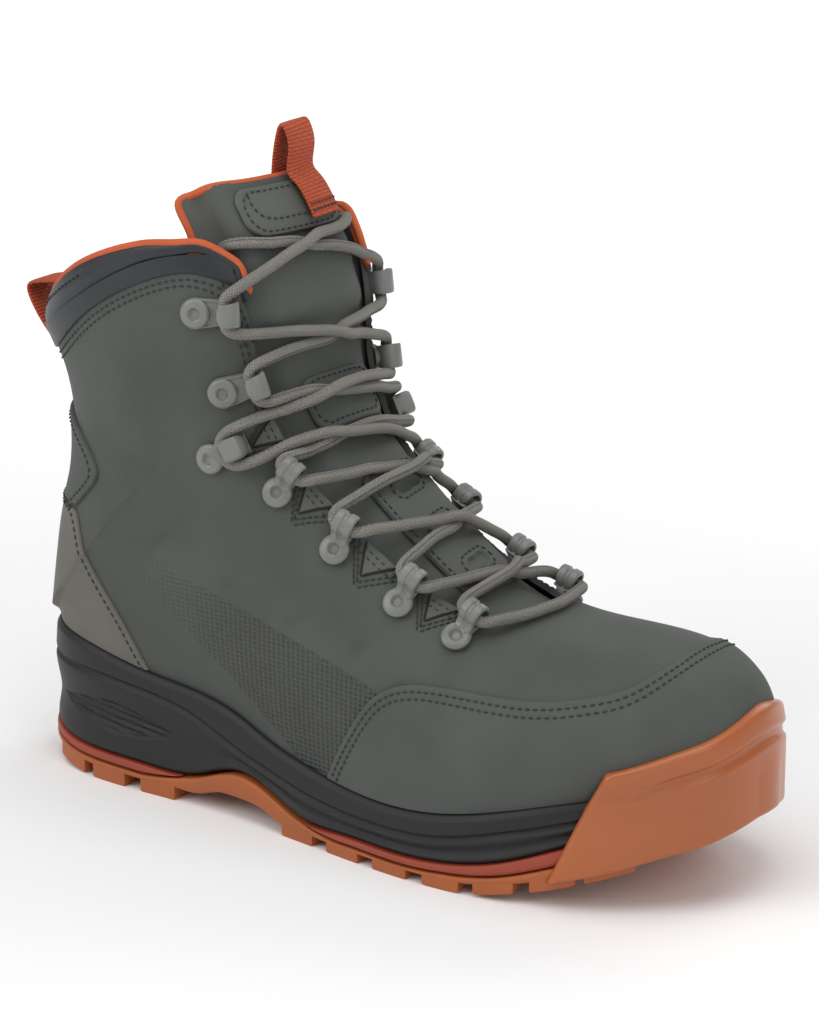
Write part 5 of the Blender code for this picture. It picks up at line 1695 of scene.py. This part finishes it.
class LaceHolder:
    def __init__(self, row, side, kind):
        name, rivetAt, rivetBack, ringAt, ringBack, *inner = row
        up, back = inner if side == medial else (0.0, 0.0)
        (self.rivet,), (normal,) = onTree([skinSpot(rivetAt + up, rivetBack + back, side)])
        (ring,), _ = onTree([skinSpot(ringAt + up, ringBack + back, side)])
        self.normal = normal if normal[1] * side > 0 else -normal
        reach = ring - self.rivet
        drop = np.dot(reach, self.normal)
        reach -= self.normal * drop
        self.far = hardware["reach"][kind]
        self.reach = reach / np.linalg.norm(reach)
        self.across = np.cross(self.normal, self.reach)
        self.kind, self.block = kind, kind == "hook" and name == "3"
        self.node = f"{kind}_{'lateral' if side < 0 else 'medial'}_{name}"
        self.half = hardware["width"][kind] / 2
        self.slope = 0.85 * drop / np.linalg.norm(reach)
        radius = hardware["baseRadius"]
        prints = [
            (a, b)
            for a in np.linspace(-radius, self.far + 0.002, 9) for b in np.linspace(-1, 1, 5) * radius
        ]
        self.lift = 3 * boot["gap"] + max(self.heightAt(a, b) - self.slope * max(a, 0) for a, b in prints)
        self.ring = hardware["ringInner"] + hardware["ringWall"]
        self.centre = self.place(self.far, 0.0, self.lift + self.slope * self.far + self.ring)

    def heightAt(self, a, b):
        hit = skinTree.ray_cast(Vector(self.place(a, b, 0.02)), Vector(-self.normal), 0.03)[0]
        return -0.01 if hit is None else float(np.dot(np.array(hit) - self.rivet, self.normal))

    def place(self, along, across, out):
        return self.rivet + self.reach * along + self.across * across + self.normal * out

    def base(self):
        # Turned base with a dimple, its edge down to the upper
        section = [(r * millimetre, z * millimetre) for r, z in hardware["baseSection"]]
        section += [(hardware["stemRadius"], 0.0), (hardware["stemRadius"], 1.6 * boot["gap"] - self.lift)]
        count = 30
        angles = np.arange(count) * 2 * math.pi / count
        points = [self.place(0, 0, self.lift + section[0][1])]
        for r, z in section[1:]:
            points += [self.place(r * math.cos(a), r * math.sin(a), self.lift + z) for a in angles]
        points.append(self.place(0, 0, 1.6 * boot["gap"]))
        faces = [[0, 1 + k, 1 + (k + 1) % count] for k in range(count)]
        for i in range(len(section) - 2):
            a = 1 + i * count
            faces += [
                [a + k, a + count + k, a + count + (k + 1) % count, a + (k + 1) % count]
                for k in range(count)
            ]
        last = 1 + (len(section) - 2) * count
        faces += [[last + k, len(points) - 1, last + (k + 1) % count] for k in range(count)]
        return np.array(points), faces

    def strip(self, path, widths):
        # Grooved strip along (reach, out) points
        path = np.asarray(path)
        ahead = unit(np.gradient(path, axis=0))
        loops = []
        for (t, n), (dt, dn), wide in zip(path, ahead, widths):
            centre = self.place(t, 0, n)
            out = self.normal * dt - self.reach * dn
            loops.append(
                [centre + self.across * u * wide + out * v * millimetre for u, v in hardware["stripSection"]]
            )
        return np.concatenate(loops), loftFaces(len(loops), len(hardware["stripSection"]))

    def plate(self, far):
        # Flat plate from the rivet towards the ring, its rim raised
        outline = []
        for t in 2 * math.pi * (np.arange(40) + 0.5) / 40:
            radius, along = (0.0050, far) if math.cos(t) > 0 else (0.0061, 0.0)
            outline.append((along + radius * math.cos(t), radius * math.sin(t)))
        loops = []
        for scale, z in (
            (0.80, -0.0016), (1.0, -0.0016), (1.0, 0.0004), (0.95, 0.0009), (0.86, 0.0009), (0.80, 0.0004),
            (0.3, 0.0004)
        ):
            loops.append(
                [
                    self.place(
                        far / 2 + (a - far / 2) * (1 - (1 - scale) * 0.6), b * scale,
                        self.lift + z + self.slope * max(a, 0)
                    )
                    for a, b in outline
                ]
            )
        return np.concatenate(loops), loftFaces(len(loops), 40)

    def arc(self, angles, middle, radius):
        return [
            (middle[0] + radius * math.cos(a), middle[1] + radius * math.sin(a)) for a in np.radians(angles)
        ]

    def parts(self):
        high = self.lift + 0.0014
        middle = (self.far, self.lift + self.slope * self.far + self.ring)
        radius = hardware["ringInner"] + hardware["ringWall"] / 2
        if self.block:
            return [self.base(), *self.blockParts(middle)]
        if self.kind == "eyelet":
            neck = [(0.0030, high), (0.0046, high + 0.0006 + 0.3 * self.slope * 0.0046)]
            arc = self.arc(np.linspace(178, -75, 30), middle, radius)
            floor = [
                (0.0035, self.lift + 0.0006),
                (self.far + 0.0018, self.lift + 0.0006 + self.slope * self.far)
            ]
        else:
            neck = [(0.72 * self.far, self.lift + 0.0004 + 0.72 * self.slope * self.far)]
            arc = self.arc(np.linspace(-92, 128, 30), middle, radius)
            floor = None
        path = resample(np.column_stack([neck + arc, np.zeros(len(neck) + len(arc))]), 0.0005)[:, :2]
        path = evened(path, 4)
        share = np.linspace(0, 1, len(path))
        widths = self.half * (
            0.90 + 0.14 * np.sin(math.pi * share)
        ) * np.sqrt(np.clip((1 - share) / 0.06, 0.25, 1))
        made = [self.base(), self.strip(path, widths)]
        if self.kind == "hook":
            made.append(self.plate(0.70 * self.far))
        if floor:
            line = resample(np.column_stack([floor, np.zeros(2)]), 0.001)[:, :2]
            made.append(self.strip(line, np.full(len(line), self.half * 0.96)))
        return made

    def blockParts(self, middle):
        # Locking hook: a rounded block on a tab with a second lobe below
        half, high = 0.0044, 0.0078
        levels = (
            (0.80, -0.0042), (0.94, -0.0030), (1.0, -0.0012), (1.06, high - 0.0050), (1.0, high - 0.0042),
            (0.84, high - 0.0036)
        )
        loops = []
        for scale, z in levels:
            loop = []
            for a in 2 * math.pi * (np.arange(24) + 0.5) / 24:
                u = math.copysign(abs(math.cos(a)) ** 0.42, math.cos(a)) * half * scale
                v = math.copysign(abs(math.sin(a)) ** 0.42, math.sin(a)) * half * scale
                loop.append(self.place(middle[0] + u, v, middle[1] + z))
            loops.append(loop)
        block = np.concatenate(loops), loftFaces(len(loops), 24)
        line = [(0.0, self.lift + 0.0007), (self.far + 0.004, self.lift + 0.0007 + self.slope * self.far)]
        line = resample(np.column_stack([line, np.zeros(2)]), 0.001)[:, :2]
        tab = self.strip(line, self.half * (1.0 - 0.12 * np.linspace(0, 1, len(line))))
        return [block, tab]

    def sides(self, way):
        # Where the lace leaves on this side, and the way it goes
        if self.block:
            hold = self.centre + self.across * way * 0.0074 + self.reach * 0.0020 - self.normal * 0.0006
            return hold, self.reach
        beside = self.half + 0.93 * laceShape["radius"] + boot["gap"]
        leave = 0.96 * self.reach + 0.28 * way * self.across
        return self.centre + self.across * way * beside - self.reach * 0.0020, leave

    def through(self, way):
        # Lace from one side of the ring to the other, or round the block's back
        if self.block:
            start, end = self.sides(-way)[0], self.sides(way)[0]
            round_ = [
                self.centre + self.across * -way * 0.0062 - self.reach * 0.0050 - self.normal * 0.0008,
                self.centre - self.reach * 0.0078 - self.normal * 0.0010,
                self.centre + self.across * way * 0.0062 - self.reach * 0.0050 - self.normal * 0.0008,
            ]
            return [start, *round_, end]
        start, end = self.sides(-way)[0], self.sides(way)[0]
        return [start, self.centre - self.reach * 0.0007 - self.normal * 0.0003, end]


laceShape = {
    "out": (0.80, 0.0, 0.60),
    "radius": 0.00225,
    "clear": 0.0030,
    "lead": 0.0030,
    "tuckAt": 2.04,
    "tuckShare": 0.72,
    "pitch": 0.0007,
    "step": 0.0014,
    "turns": 30,
    "sides": 20,
    "ribs": 8,
    "braid": 0.0021,
    "crossing": 0.17,
}


def buildHardware():
    holders = {}
    for kind, rows in (("eyelet", hardware["eyelets"]), ("hook", hardware["hooks"])):
        for row in rows:
            for side in (lateral, medial):
                holder = LaceHolder(row, side, kind)
                holders[kind + row[0], side] = holder
                piece = joinedMesh("hardware_" + holder.node, holder.parts(), looks["metal"], crease=32)
                settle(piece, "hardware", holder.node)
    return holders


holders = buildHardware()
print("hardware made:", len(holders))


def coverTree(names):
    # The surfaces that the lace lies over
    points, faces = [], []
    for name in names:
        mesh = bpy.data.objects[name].data
        own = np.empty(len(mesh.vertices) * 3, np.float32)
        mesh.vertices.foreach_get("co", own)
        shift = len(points)
        points += list(own.reshape(-1, 3) - np.array(boot["origin"]))
        faces += [[k + shift for k in ring.vertices] for ring in mesh.polygons]
    return BVHTree.FromPolygons([Vector(p) for p in points], faces)


cover = coverTree(["upperShell", "tonguePad", "instepPanel", "shinPanel", "ripstopPanel"])


def taut(start, leadIn, leadOut, end, count=13):
    # A strand pulled tight from one ring to the next over tongue and throat edges
    clear = laceShape["clear"]
    out = np.array(laceShape["out"])
    first, last = start + leadIn, end + leadOut
    path = [start, *[first + (last - first) * t for t in np.linspace(0, 1, count)], end]
    for k in range(2, len(path) - 2):
        for _ in range(4):
            hit = np.array(cover.find_nearest(Vector(path[k]))[0])
            away = path[k] - hit
            distance = np.linalg.norm(away)
            if np.dot(away, out) < 0:
                path[k] = hit + out * clear
            elif distance < clear:
                path[k] = hit + away / distance * clear
    for _ in range(12):
        for k in range(2, len(path) - 2):
            chord = (path[k - 1] + path[k + 1]) / 2
            if np.dot(chord - path[k], out) > 0:
                path[k] = chord
    return np.array(path)


def relaxed(path, centres):
    # Strands that touch are pushed apart, and off the surfaces below, while the rings hold their places
    path = resample(path, laceShape["step"])
    apart = 2 * laceShape["radius"] + 0.0001
    near = np.min(np.linalg.norm(path[:, None] - centres[None], axis=2), axis=1)
    free = np.clip((near - 0.0035) / 0.004, 0, 1)[:, None]
    free[:2] = free[-2:] = 0
    for _ in range(laceShape["turns"]):
        tree = KDTree(len(path))
        for k, point in enumerate(path):
            tree.insert(point, k)
        tree.balance()
        move = np.zeros_like(path)
        for k, point in enumerate(path):
            for spot, j, far in tree.find_range(point, apart):
                if j > k + 7:
                    away = (point - np.array(spot)) / max(far, 1e-5)
                    move[k] += away * (apart - far) / 2
                    move[j] -= away * (apart - far) / 2
        move *= np.minimum(1, 0.0012 / np.maximum(np.linalg.norm(move, axis=1, keepdims=True), 1e-9))
        path = path + move * free
        path[1:-1] += 0.3 * free[1:-1] * ((path[:-2] + path[2:]) / 2 - path[1:-1])
        for k in np.flatnonzero(free[:, 0] > 0):
            hit = np.array(cover.find_nearest(Vector(path[k]))[0])
            away = path[k] - hit
            far = np.linalg.norm(away)
            if 1e-6 < far < laceShape["clear"]:
                path[k] = hit + away / far * laceShape["clear"]
    return path


def braidedLace(name, path):
    path = resample(path, laceShape["pitch"])
    path = evened(path, 4)
    _, outs, across = sweepFrames(path)
    sides, radius = laceShape["sides"], laceShape["radius"]
    angles = np.arange(sides) * 2 * math.pi / sides
    run = np.arange(len(path)) * laceShape["pitch"]
    loops, uv = [], []
    for p, o, a, v in zip(path, outs, across, run):
        # Chevrons of the braid stand a little proud
        tri = np.abs((laceShape["ribs"] * angles / (2 * math.pi)) % 1 - 0.5)
        swell = 1 + 0.035 * np.sin(2 * math.pi * (v / laceShape["braid"] + tri))
        loops.append(
            p + radius * swell[:, None] * (np.cos(angles)[:, None] * o + np.sin(angles)[:, None] * a)
        )
        uv += [(m / sides, v * 1000) for m in range(sides)]
    return makeMesh(
        name, np.concatenate(loops), loftFaces(len(loops), sides), looks["lace"], None, uv, "braidMap", 180
    )


def buildLace():
    ladder = ["eyelet4", "eyelet3", "eyelet2", "eyelet1", "hook3", "hook2", "hook1"]
    ways = {key: 1 if holder.across[2] > 0 else -1 for key, holder in holders.items()}
    out = np.array(laceShape["out"])
    radius, lead = laceShape["radius"], laceShape["lead"]
    bar = [holders["eyelet4", side].sides(-ways["eyelet4", side]) for side in (lateral, medial)]
    middle = taut(bar[0][0], bar[0][1] * lead, bar[1][1] * lead, bar[1][0])
    halves = {}
    for side in (lateral, medial):
        here, path = side, []
        for step, below in enumerate(ladder):
            holder, way = holders[below, here], ways[below, here]
            path += holder.through(way)
            start, leave = holder.sides(way)
            if step + 1 < len(ladder):
                after = holders[ladder[step + 1], -here]
                end, arrive = after.sides(-ways[ladder[step + 1], -here])
                strand = taut(start, leave * lead, arrive * lead, end)
            else:
                end = tonguePoint(laceShape["tuckAt"], -here * laceShape["tuckShare"], radius + 0.0009)
                strand = taut(start, leave * lead, np.array([0.0, 0.0, 0.001]), end)
            # One strand passes over the other where they cross
            over = 1.15 if (here < 0) == (step % 2 == 0) else -0.80
            share = np.linspace(0, 1, len(strand))
            cross = share[int(np.argmin(np.abs(strand[2:-2, 1] - 0.5 * (start[1] + end[1])))) + 2]
            lift = over * radius * np.exp(-(((share - cross) / laceShape["crossing"]) ** 2))
            strand[1:-1] += out * lift[1:-1, None]
            path += list(strand[1:-1]) if step + 1 < len(ladder) else list(strand[1:])
            here = -here
        halves[side] = path
    whole = halves[lateral][::-1] + list(middle[1:-1]) + halves[medial]
    places = np.array(whole)
    keep = np.concatenate([[True], np.linalg.norm(np.diff(places, axis=0), axis=1) > 0.0008])
    places = places[keep]
    length = runOf(places)
    curve = spline(np.column_stack([length, places]))
    path = np.array([curve(t) for t in np.arange(0, length[-1], 0.0007)])
    nodes = ["lace_bar", "lace_top"] + [f"lace_cross_{a}_{b}" for a, b in zip(ladder, ladder[1:])]
    path = relaxed(path, np.array([holder.centre for holder in holders.values()]))
    settle(braidedLace("lace", path), "cord", *nodes)
    print("lace length:", round(float(length[-1]), 3), "m")


buildLace()


# Sole unit
sole = {
    "stations": 150,
    "lugHeight": 0.0036,
    "heelLugHeight": 0.0048,
    "toeSpring": 0.029,
    "toeSpringStart": 0.69,
    "bevelHeel": 0.0055,
    "heelBandEnd": 0.262,
    "forefootBand": (0.470, 0.835),
    "bumperWall": 0.0034,
    "bumperProud": 0.0013,
    "bumperBackLow": 0.265,
    "bumperBackTop": 0.285,
    # horizontal groove round the bumper: height over the feather, half width, depth
    "groove": (0.0010, 0.0024, 0.0015),
    # leaf-shaped recess behind the heel's side: middle along, height, half length,
    # half height, depth, rib pitch
    "leaf": (0.050, 0.0285, 0.034, 0.0075, 0.0016, 0.0030),
}


def ground(x):
    # Underside of the tread: flat under heel and ball, rising to the toe and a little at the heel's back
    length = boot["soleLength"]
    toe = max(0.0, x / length - sole["toeSpringStart"]) / (1 - sole["toeSpringStart"])
    heel = max(0.0, 1 - x / (0.15 * length))
    return sole["toeSpring"] * toe**1.5 + sole["bevelHeel"] * heel**2


def coreInset(x):
    near = min(x, boot["soleLength"] - x) / boot["soleLength"]
    return 0.30 * boot["ballWidth"] * min(1.0, 0.35 + 2.2 * near) * 0.5


def bandThickness(x):
    return np.interp(x / boot["soleLength"], *np.array(bands).T) * boot["heelHeight"]


def plateTop(x):
    return soleHeight(x)[0] - bandThickness(x) - 3 * boot["gap"]


def plateBottom(x):
    share = x / boot["soleLength"]
    arch = math.exp(-(((share - 0.355) / 0.055) ** 4))
    return ground(x) + np.interp(
        share, (0.30, 0.42), (sole["heelLugHeight"], sole["lugHeight"])
    ) + arch * 0.0045


def stations(low=0.0, high=1.0):
    return np.linspace(
        math.acos(1 - 2 * low), math.acos(1 - 2 * high), int(sole["stations"] * (high - low)) + 8
    )


def rounded(levels, radius=0.0006):
    # Cuts each inner corner of a profile into three points
    levels = [np.array(p, float) for p in levels]
    result = [levels[0]]
    for before, here, after in zip(levels, levels[1:], levels[2:]):
        a, b = before - here, after - here
        cut = min(radius, 0.4 * np.linalg.norm(a), 0.4 * np.linalg.norm(b))
        first, last = here + a / np.linalg.norm(a) * cut, here + b / np.linalg.norm(b) * cut
        result += [first, (first + last + 2 * here) / 4, last]
    return [*result, levels[-1]]


def solePiece(name, angles, profile, look, slot, *nodes, change=None):
    # Cross-sections of the sole, each half from the underside round the edge to the top
    loops = []
    for angle in angles:
        x = boot["soleLength"] / 2 * (1 - math.cos(angle))
        levels = profile(x)
        halves = []
        for turn, side in ((angle, lateral), (2 * math.pi - angle, medial)):
            half = []
            for inset, z in levels:
                here = rim(turn, inset)
                if change:
                    here = rim(turn, inset + change(here[0], z, side))
                half.append((*here, z))
            halves.append(half)
        loops.append(halves[0] + halves[1][::-1])
    points = np.array([p for loop in loops for p in loop])
    obj = makeMesh(
        name, points, loftFaces(len(loops), len(loops[0])), look, None, points[:, [0, 2]], crease=48
    )
    bm = bmesh.new()
    bm.from_mesh(obj.data)
    bmesh.ops.remove_doubles(bm, verts=bm.verts, dist=1e-6)
    bmesh.ops.dissolve_degenerate(bm, edges=bm.edges, dist=1e-7)
    bmesh.ops.recalc_face_normals(bm, faces=bm.faces)
    bm.to_mesh(obj.data)
    bm.free()
    return settle(obj, slot, *nodes)


def midsoleProfile(x):
    bottom, groove, top, bed = soleHeight(x)
    waist = bottom + 0.45 * (groove - bottom)
    core = coreInset(x)
    gap, tuck = boot["gap"], boot["tuck"]
    lip = boot["flange"] - gap - 0.0002
    floor = boot["flange"] + boot["wall"] + 0.0028
    side = [(0.0008, bottom + 0.0016), (0.0022, waist), (0.0003, groove - 0.0016), (0.0018, groove - 0.0002)]
    lower, upper = side[0], side[1]
    fine = []
    for k in range(1, 8):
        t = k / 8
        fine.append((lower[0] + (upper[0] - lower[0]) * smooth(t), lower[1] + (upper[1] - lower[1]) * t))
    for k in range(0, 8):
        t = k / 8
        fine.append((upper[0] + (side[2][0] - upper[0]) * smooth(t), upper[1] + (side[2][1] - upper[1]) * t))
    return rounded(
        [
            (core + 0.004, bottom),
            (0.0022, bottom),
            lower,
            *fine,
            side[2],
            side[3],
            (0.0016, groove + 0.0008),
            (0.0004, groove + 0.0018),
            (0.0010, top - 0.0030),
            (0.0024, top - 0.0008),
            (lip, top - gap),
            (lip, top - tuck - gap),
            (floor, top - tuck - gap),
            (floor + 0.0014, bed),
            (max(core, floor + 0.003) + 0.002, bed),
        ],
        0.0005,
    )


def midsoleChange(x, z, side):
    # Ribbed leaf in the heel's outer side
    middle, height, long, tall, depth, pitch = sole["leaf"]
    if side > 0:
        return 0.0
    u, v = (x - middle) / long, (z - height + 0.07 * (x - middle)) / tall
    inside = 1 - math.hypot(u, v / max(1 - 0.55 * abs(u), 0.2))
    if inside < -0.3 or soleHeight(x)[0] + 0.001 > z or soleHeight(x)[1] - 0.001 < z:
        return 0.0
    rib = 0.30 * math.sin(2 * math.pi * (z + 0.12 * (x - middle)) / pitch) + 0.70
    return float(depth * smooth(inside / 0.22) * rib)


def bandProfile(x):
    bottom = soleHeight(x)[0] - 2 * boot["gap"]
    low = bottom - bandThickness(x) + 2 * boot["gap"]
    core = coreInset(x)
    levels = [(core, low), (0.0009, low), (0.0, low + 0.3 * (bottom - low)), (0.0004, bottom), (core, bottom)]
    return rounded(levels, 0.0004)


def plateProfile(x):
    low, high = plateBottom(x), plateTop(x)
    core, edge = coreInset(x), min(0.0012, 0.3 * (high - low))
    levels = [
        (core, low), (0.0016, low), (0.0002, low + edge), (0.0, high - edge), (0.0004, high), (core, high)
    ]
    return rounded(levels, 0.0004)


lugRows = {
    "heel": (0.075, 0.145, 0.225),
    "ball": (0.455, 0.530, 0.605, 0.680, 0.750, 0.820, 0.880),
    "heelWidth": 0.0175,
    "heelDepth": 0.0165,
    "ballWidth": 0.0165,
    "ballDepth": 0.0150,
    "heelCross": (0.050, 0.125, 0.195, 0.262),
    # cross lugs under the ball: place, middle
    "cross": (
        (0.440, -0.002), (0.500, -0.002), (0.570, -0.001), (0.640, 0.0), (0.710, 0.002), (0.780, 0.004),
        (0.845, 0.006)
    ),
    "chamfer": 0.0007,
}


def lugPart(corners):
    # A block with its lower edges broken, from the ground line into the plate
    corners = np.array(corners)
    middle = corners.mean(axis=0)
    inner = middle + (corners - middle) * (1 - 2 * lugRows["chamfer"] / np.ptp(corners, axis=0).min())
    loops = [
        [(x, y, ground(x)) for x, y in inner],
        [(x, y, ground(x) + lugRows["chamfer"]) for x, y in corners],
        [(x, y, (plateBottom(x) + plateTop(x)) / 2) for x, y in corners],
    ]
    return np.concatenate(loops), loftFaces(3, len(corners))


def lugParts():
    made = []
    for side in (lateral, medial):
        for shares, width, depth in (
            (lugRows["heel"], lugRows["heelWidth"], lugRows["heelDepth"]),
            (lugRows["ball"], lugRows["ballWidth"], lugRows["ballDepth"]),
        ):
            for share in shares:
                x = share * boot["soleLength"]
                angles = np.linspace(angleOf(x - width / 2), angleOf(x + width / 2), 5)
                turned = angles if side < 0 else 2 * math.pi - angles
                corners = [rim(a, 0.0002) for a in turned] + [rim(turned[-1], depth), rim(turned[0], depth)]
                made.append(lugPart(corners))
    for share in lugRows["heelCross"]:
        x, half = share * boot["soleLength"], 0.010 if share > 0.1 else 0.007
        made.append(lugPart([(x - 0.004, -half), (x + 0.004, -half), (x + 0.004, half), (x - 0.004, half)]))
    for share, middle in lugRows["cross"]:
        x, half = share * boot["soleLength"], 0.0185
        made.append(
            lugPart([
                (x - 0.0042, middle - half), (x + 0.0042, middle - half),
                (x + 0.0042, middle + half), (x - 0.0042, middle + half),
            ])
        )
    return made


def insetOfUpper(angle, z):
    # How far in from the sole's outline the upper's outer surface lies at this height
    out = rim(angle, -0.03)
    into = rim(angle, 0.03) - out
    into /= np.linalg.norm(into)
    hit = skinTree.ray_cast(Vector((*out, z)), Vector((*into, 0)))[0]
    return boot["flange"] if hit is None else float(np.dot(np.array(hit)[:2] - rim(angle), into))


def buildBumper():
    # Rubber wall round the toe, with a recessed groove that dies out towards its back edges
    columns, rows = 150, 56
    wall, proud, gap = sole["bumperWall"], sole["bumperProud"], boot["gap"]
    spots, hits = [], []
    for b in np.linspace(0, 1, rows):
        back = angleOf(sole["bumperBackLow"] + (sole["bumperBackTop"] - sole["bumperBackLow"]) * b)
        for a in np.linspace(0, 1, columns):
            angle = back + (2 * math.pi - 2 * back) * a
            x = rim(angle)[0]
            low = plateBottom(x) - 0.0006
            share = math.sin(math.pi * a)
            top = feather(x) + 0.0115 + 0.0125 * share**1.3
            z = low + (top - low) * b
            above = max(z, feather(x) + 0.001)
            hits.append(min(insetOfUpper(angle, above + d) for d in (0.0, 0.003, 0.006)) - 4 * gap)
            spots.append((a, b, angle, x, share, top, z))
    hits = np.array(hits).reshape(rows, columns)
    for _ in range(8):
        hits[:, 1:-1] = np.minimum(hits[:, 1:-1], (hits[:, :-2] + 2 * hits[:, 1:-1] + hits[:, 2:]) / 4)
    lines = {"outer": [], "inner": []}
    for (a, b, angle, x, share, top, z), hit in zip(spots, hits.ravel()):
        rise = smooth((z - feather(x) + 0.004) / 0.012)
        outer = min(-proud * (1 - rise) + (hit - wall) * rise, hit - wall)
        lip = wall - proud + 0.0008
        inner = lip + (hit - lip) * smooth((z - feather(x) + 0.002) / 0.004)
        # Rounded rim at the top and the back ends, then the groove
        edge = min((1 - b) / 0.05, 1.0), min(min(a, 1 - a) / 0.012, 1.0), min(b / 0.05, 1.0)
        outer += 0.0016 * sum((1 - math.sqrt(1 - (1 - e) ** 2)) for e in edge)
        height, half, depth = sole["groove"]
        fade = smooth((share - 0.12) / 0.40)
        outer += depth * fade * math.exp(-(((z - (top - 0.0105 - height)) / half) ** 4))
        lines["outer"].append((*rim(angle, min(outer, inner - 0.0008)), z))
        lines["inner"].append((*rim(angle, inner), z))
    outer, inner = (np.array(lines[which]) for which in ("outer", "inner"))
    return sheetParts(outer, inner, gridFaces(rows, columns))[:2]


def buildSole():
    solePiece(
        "midsoleFoam", stations(), midsoleProfile, looks["foam"], "foam", "midsole", change=midsoleChange
    )
    solePiece(
        "heelBand", stations(0.0, sole["heelBandEnd"]), bandProfile, looks["redRubber"], "red_rubber",
        "heel_band"
    )
    span = stations(*sole["forefootBand"])
    solePiece("forefootBand", span, bandProfile, looks["redRubber"], "red_rubber", "forefoot_band")
    plate = solePiece("treadPlate", stations(), plateProfile, looks["gum"], "gum", "outsole")
    lugs = settle(joinedMesh("treadLugs", lugParts(), looks["gum"], crease=25), "gum")
    bumper = settle(makeMesh("toeBumper", *buildBumper(), looks["bumperRubber"], crease=60), "gum")
    return plate, lugs, bumper


buildSole()
print("sole made")

# The insole keeps its solid, with a cloth finish
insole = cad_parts["insole"]
insole.data.materials[0] = looks["inside"]


sewAll()
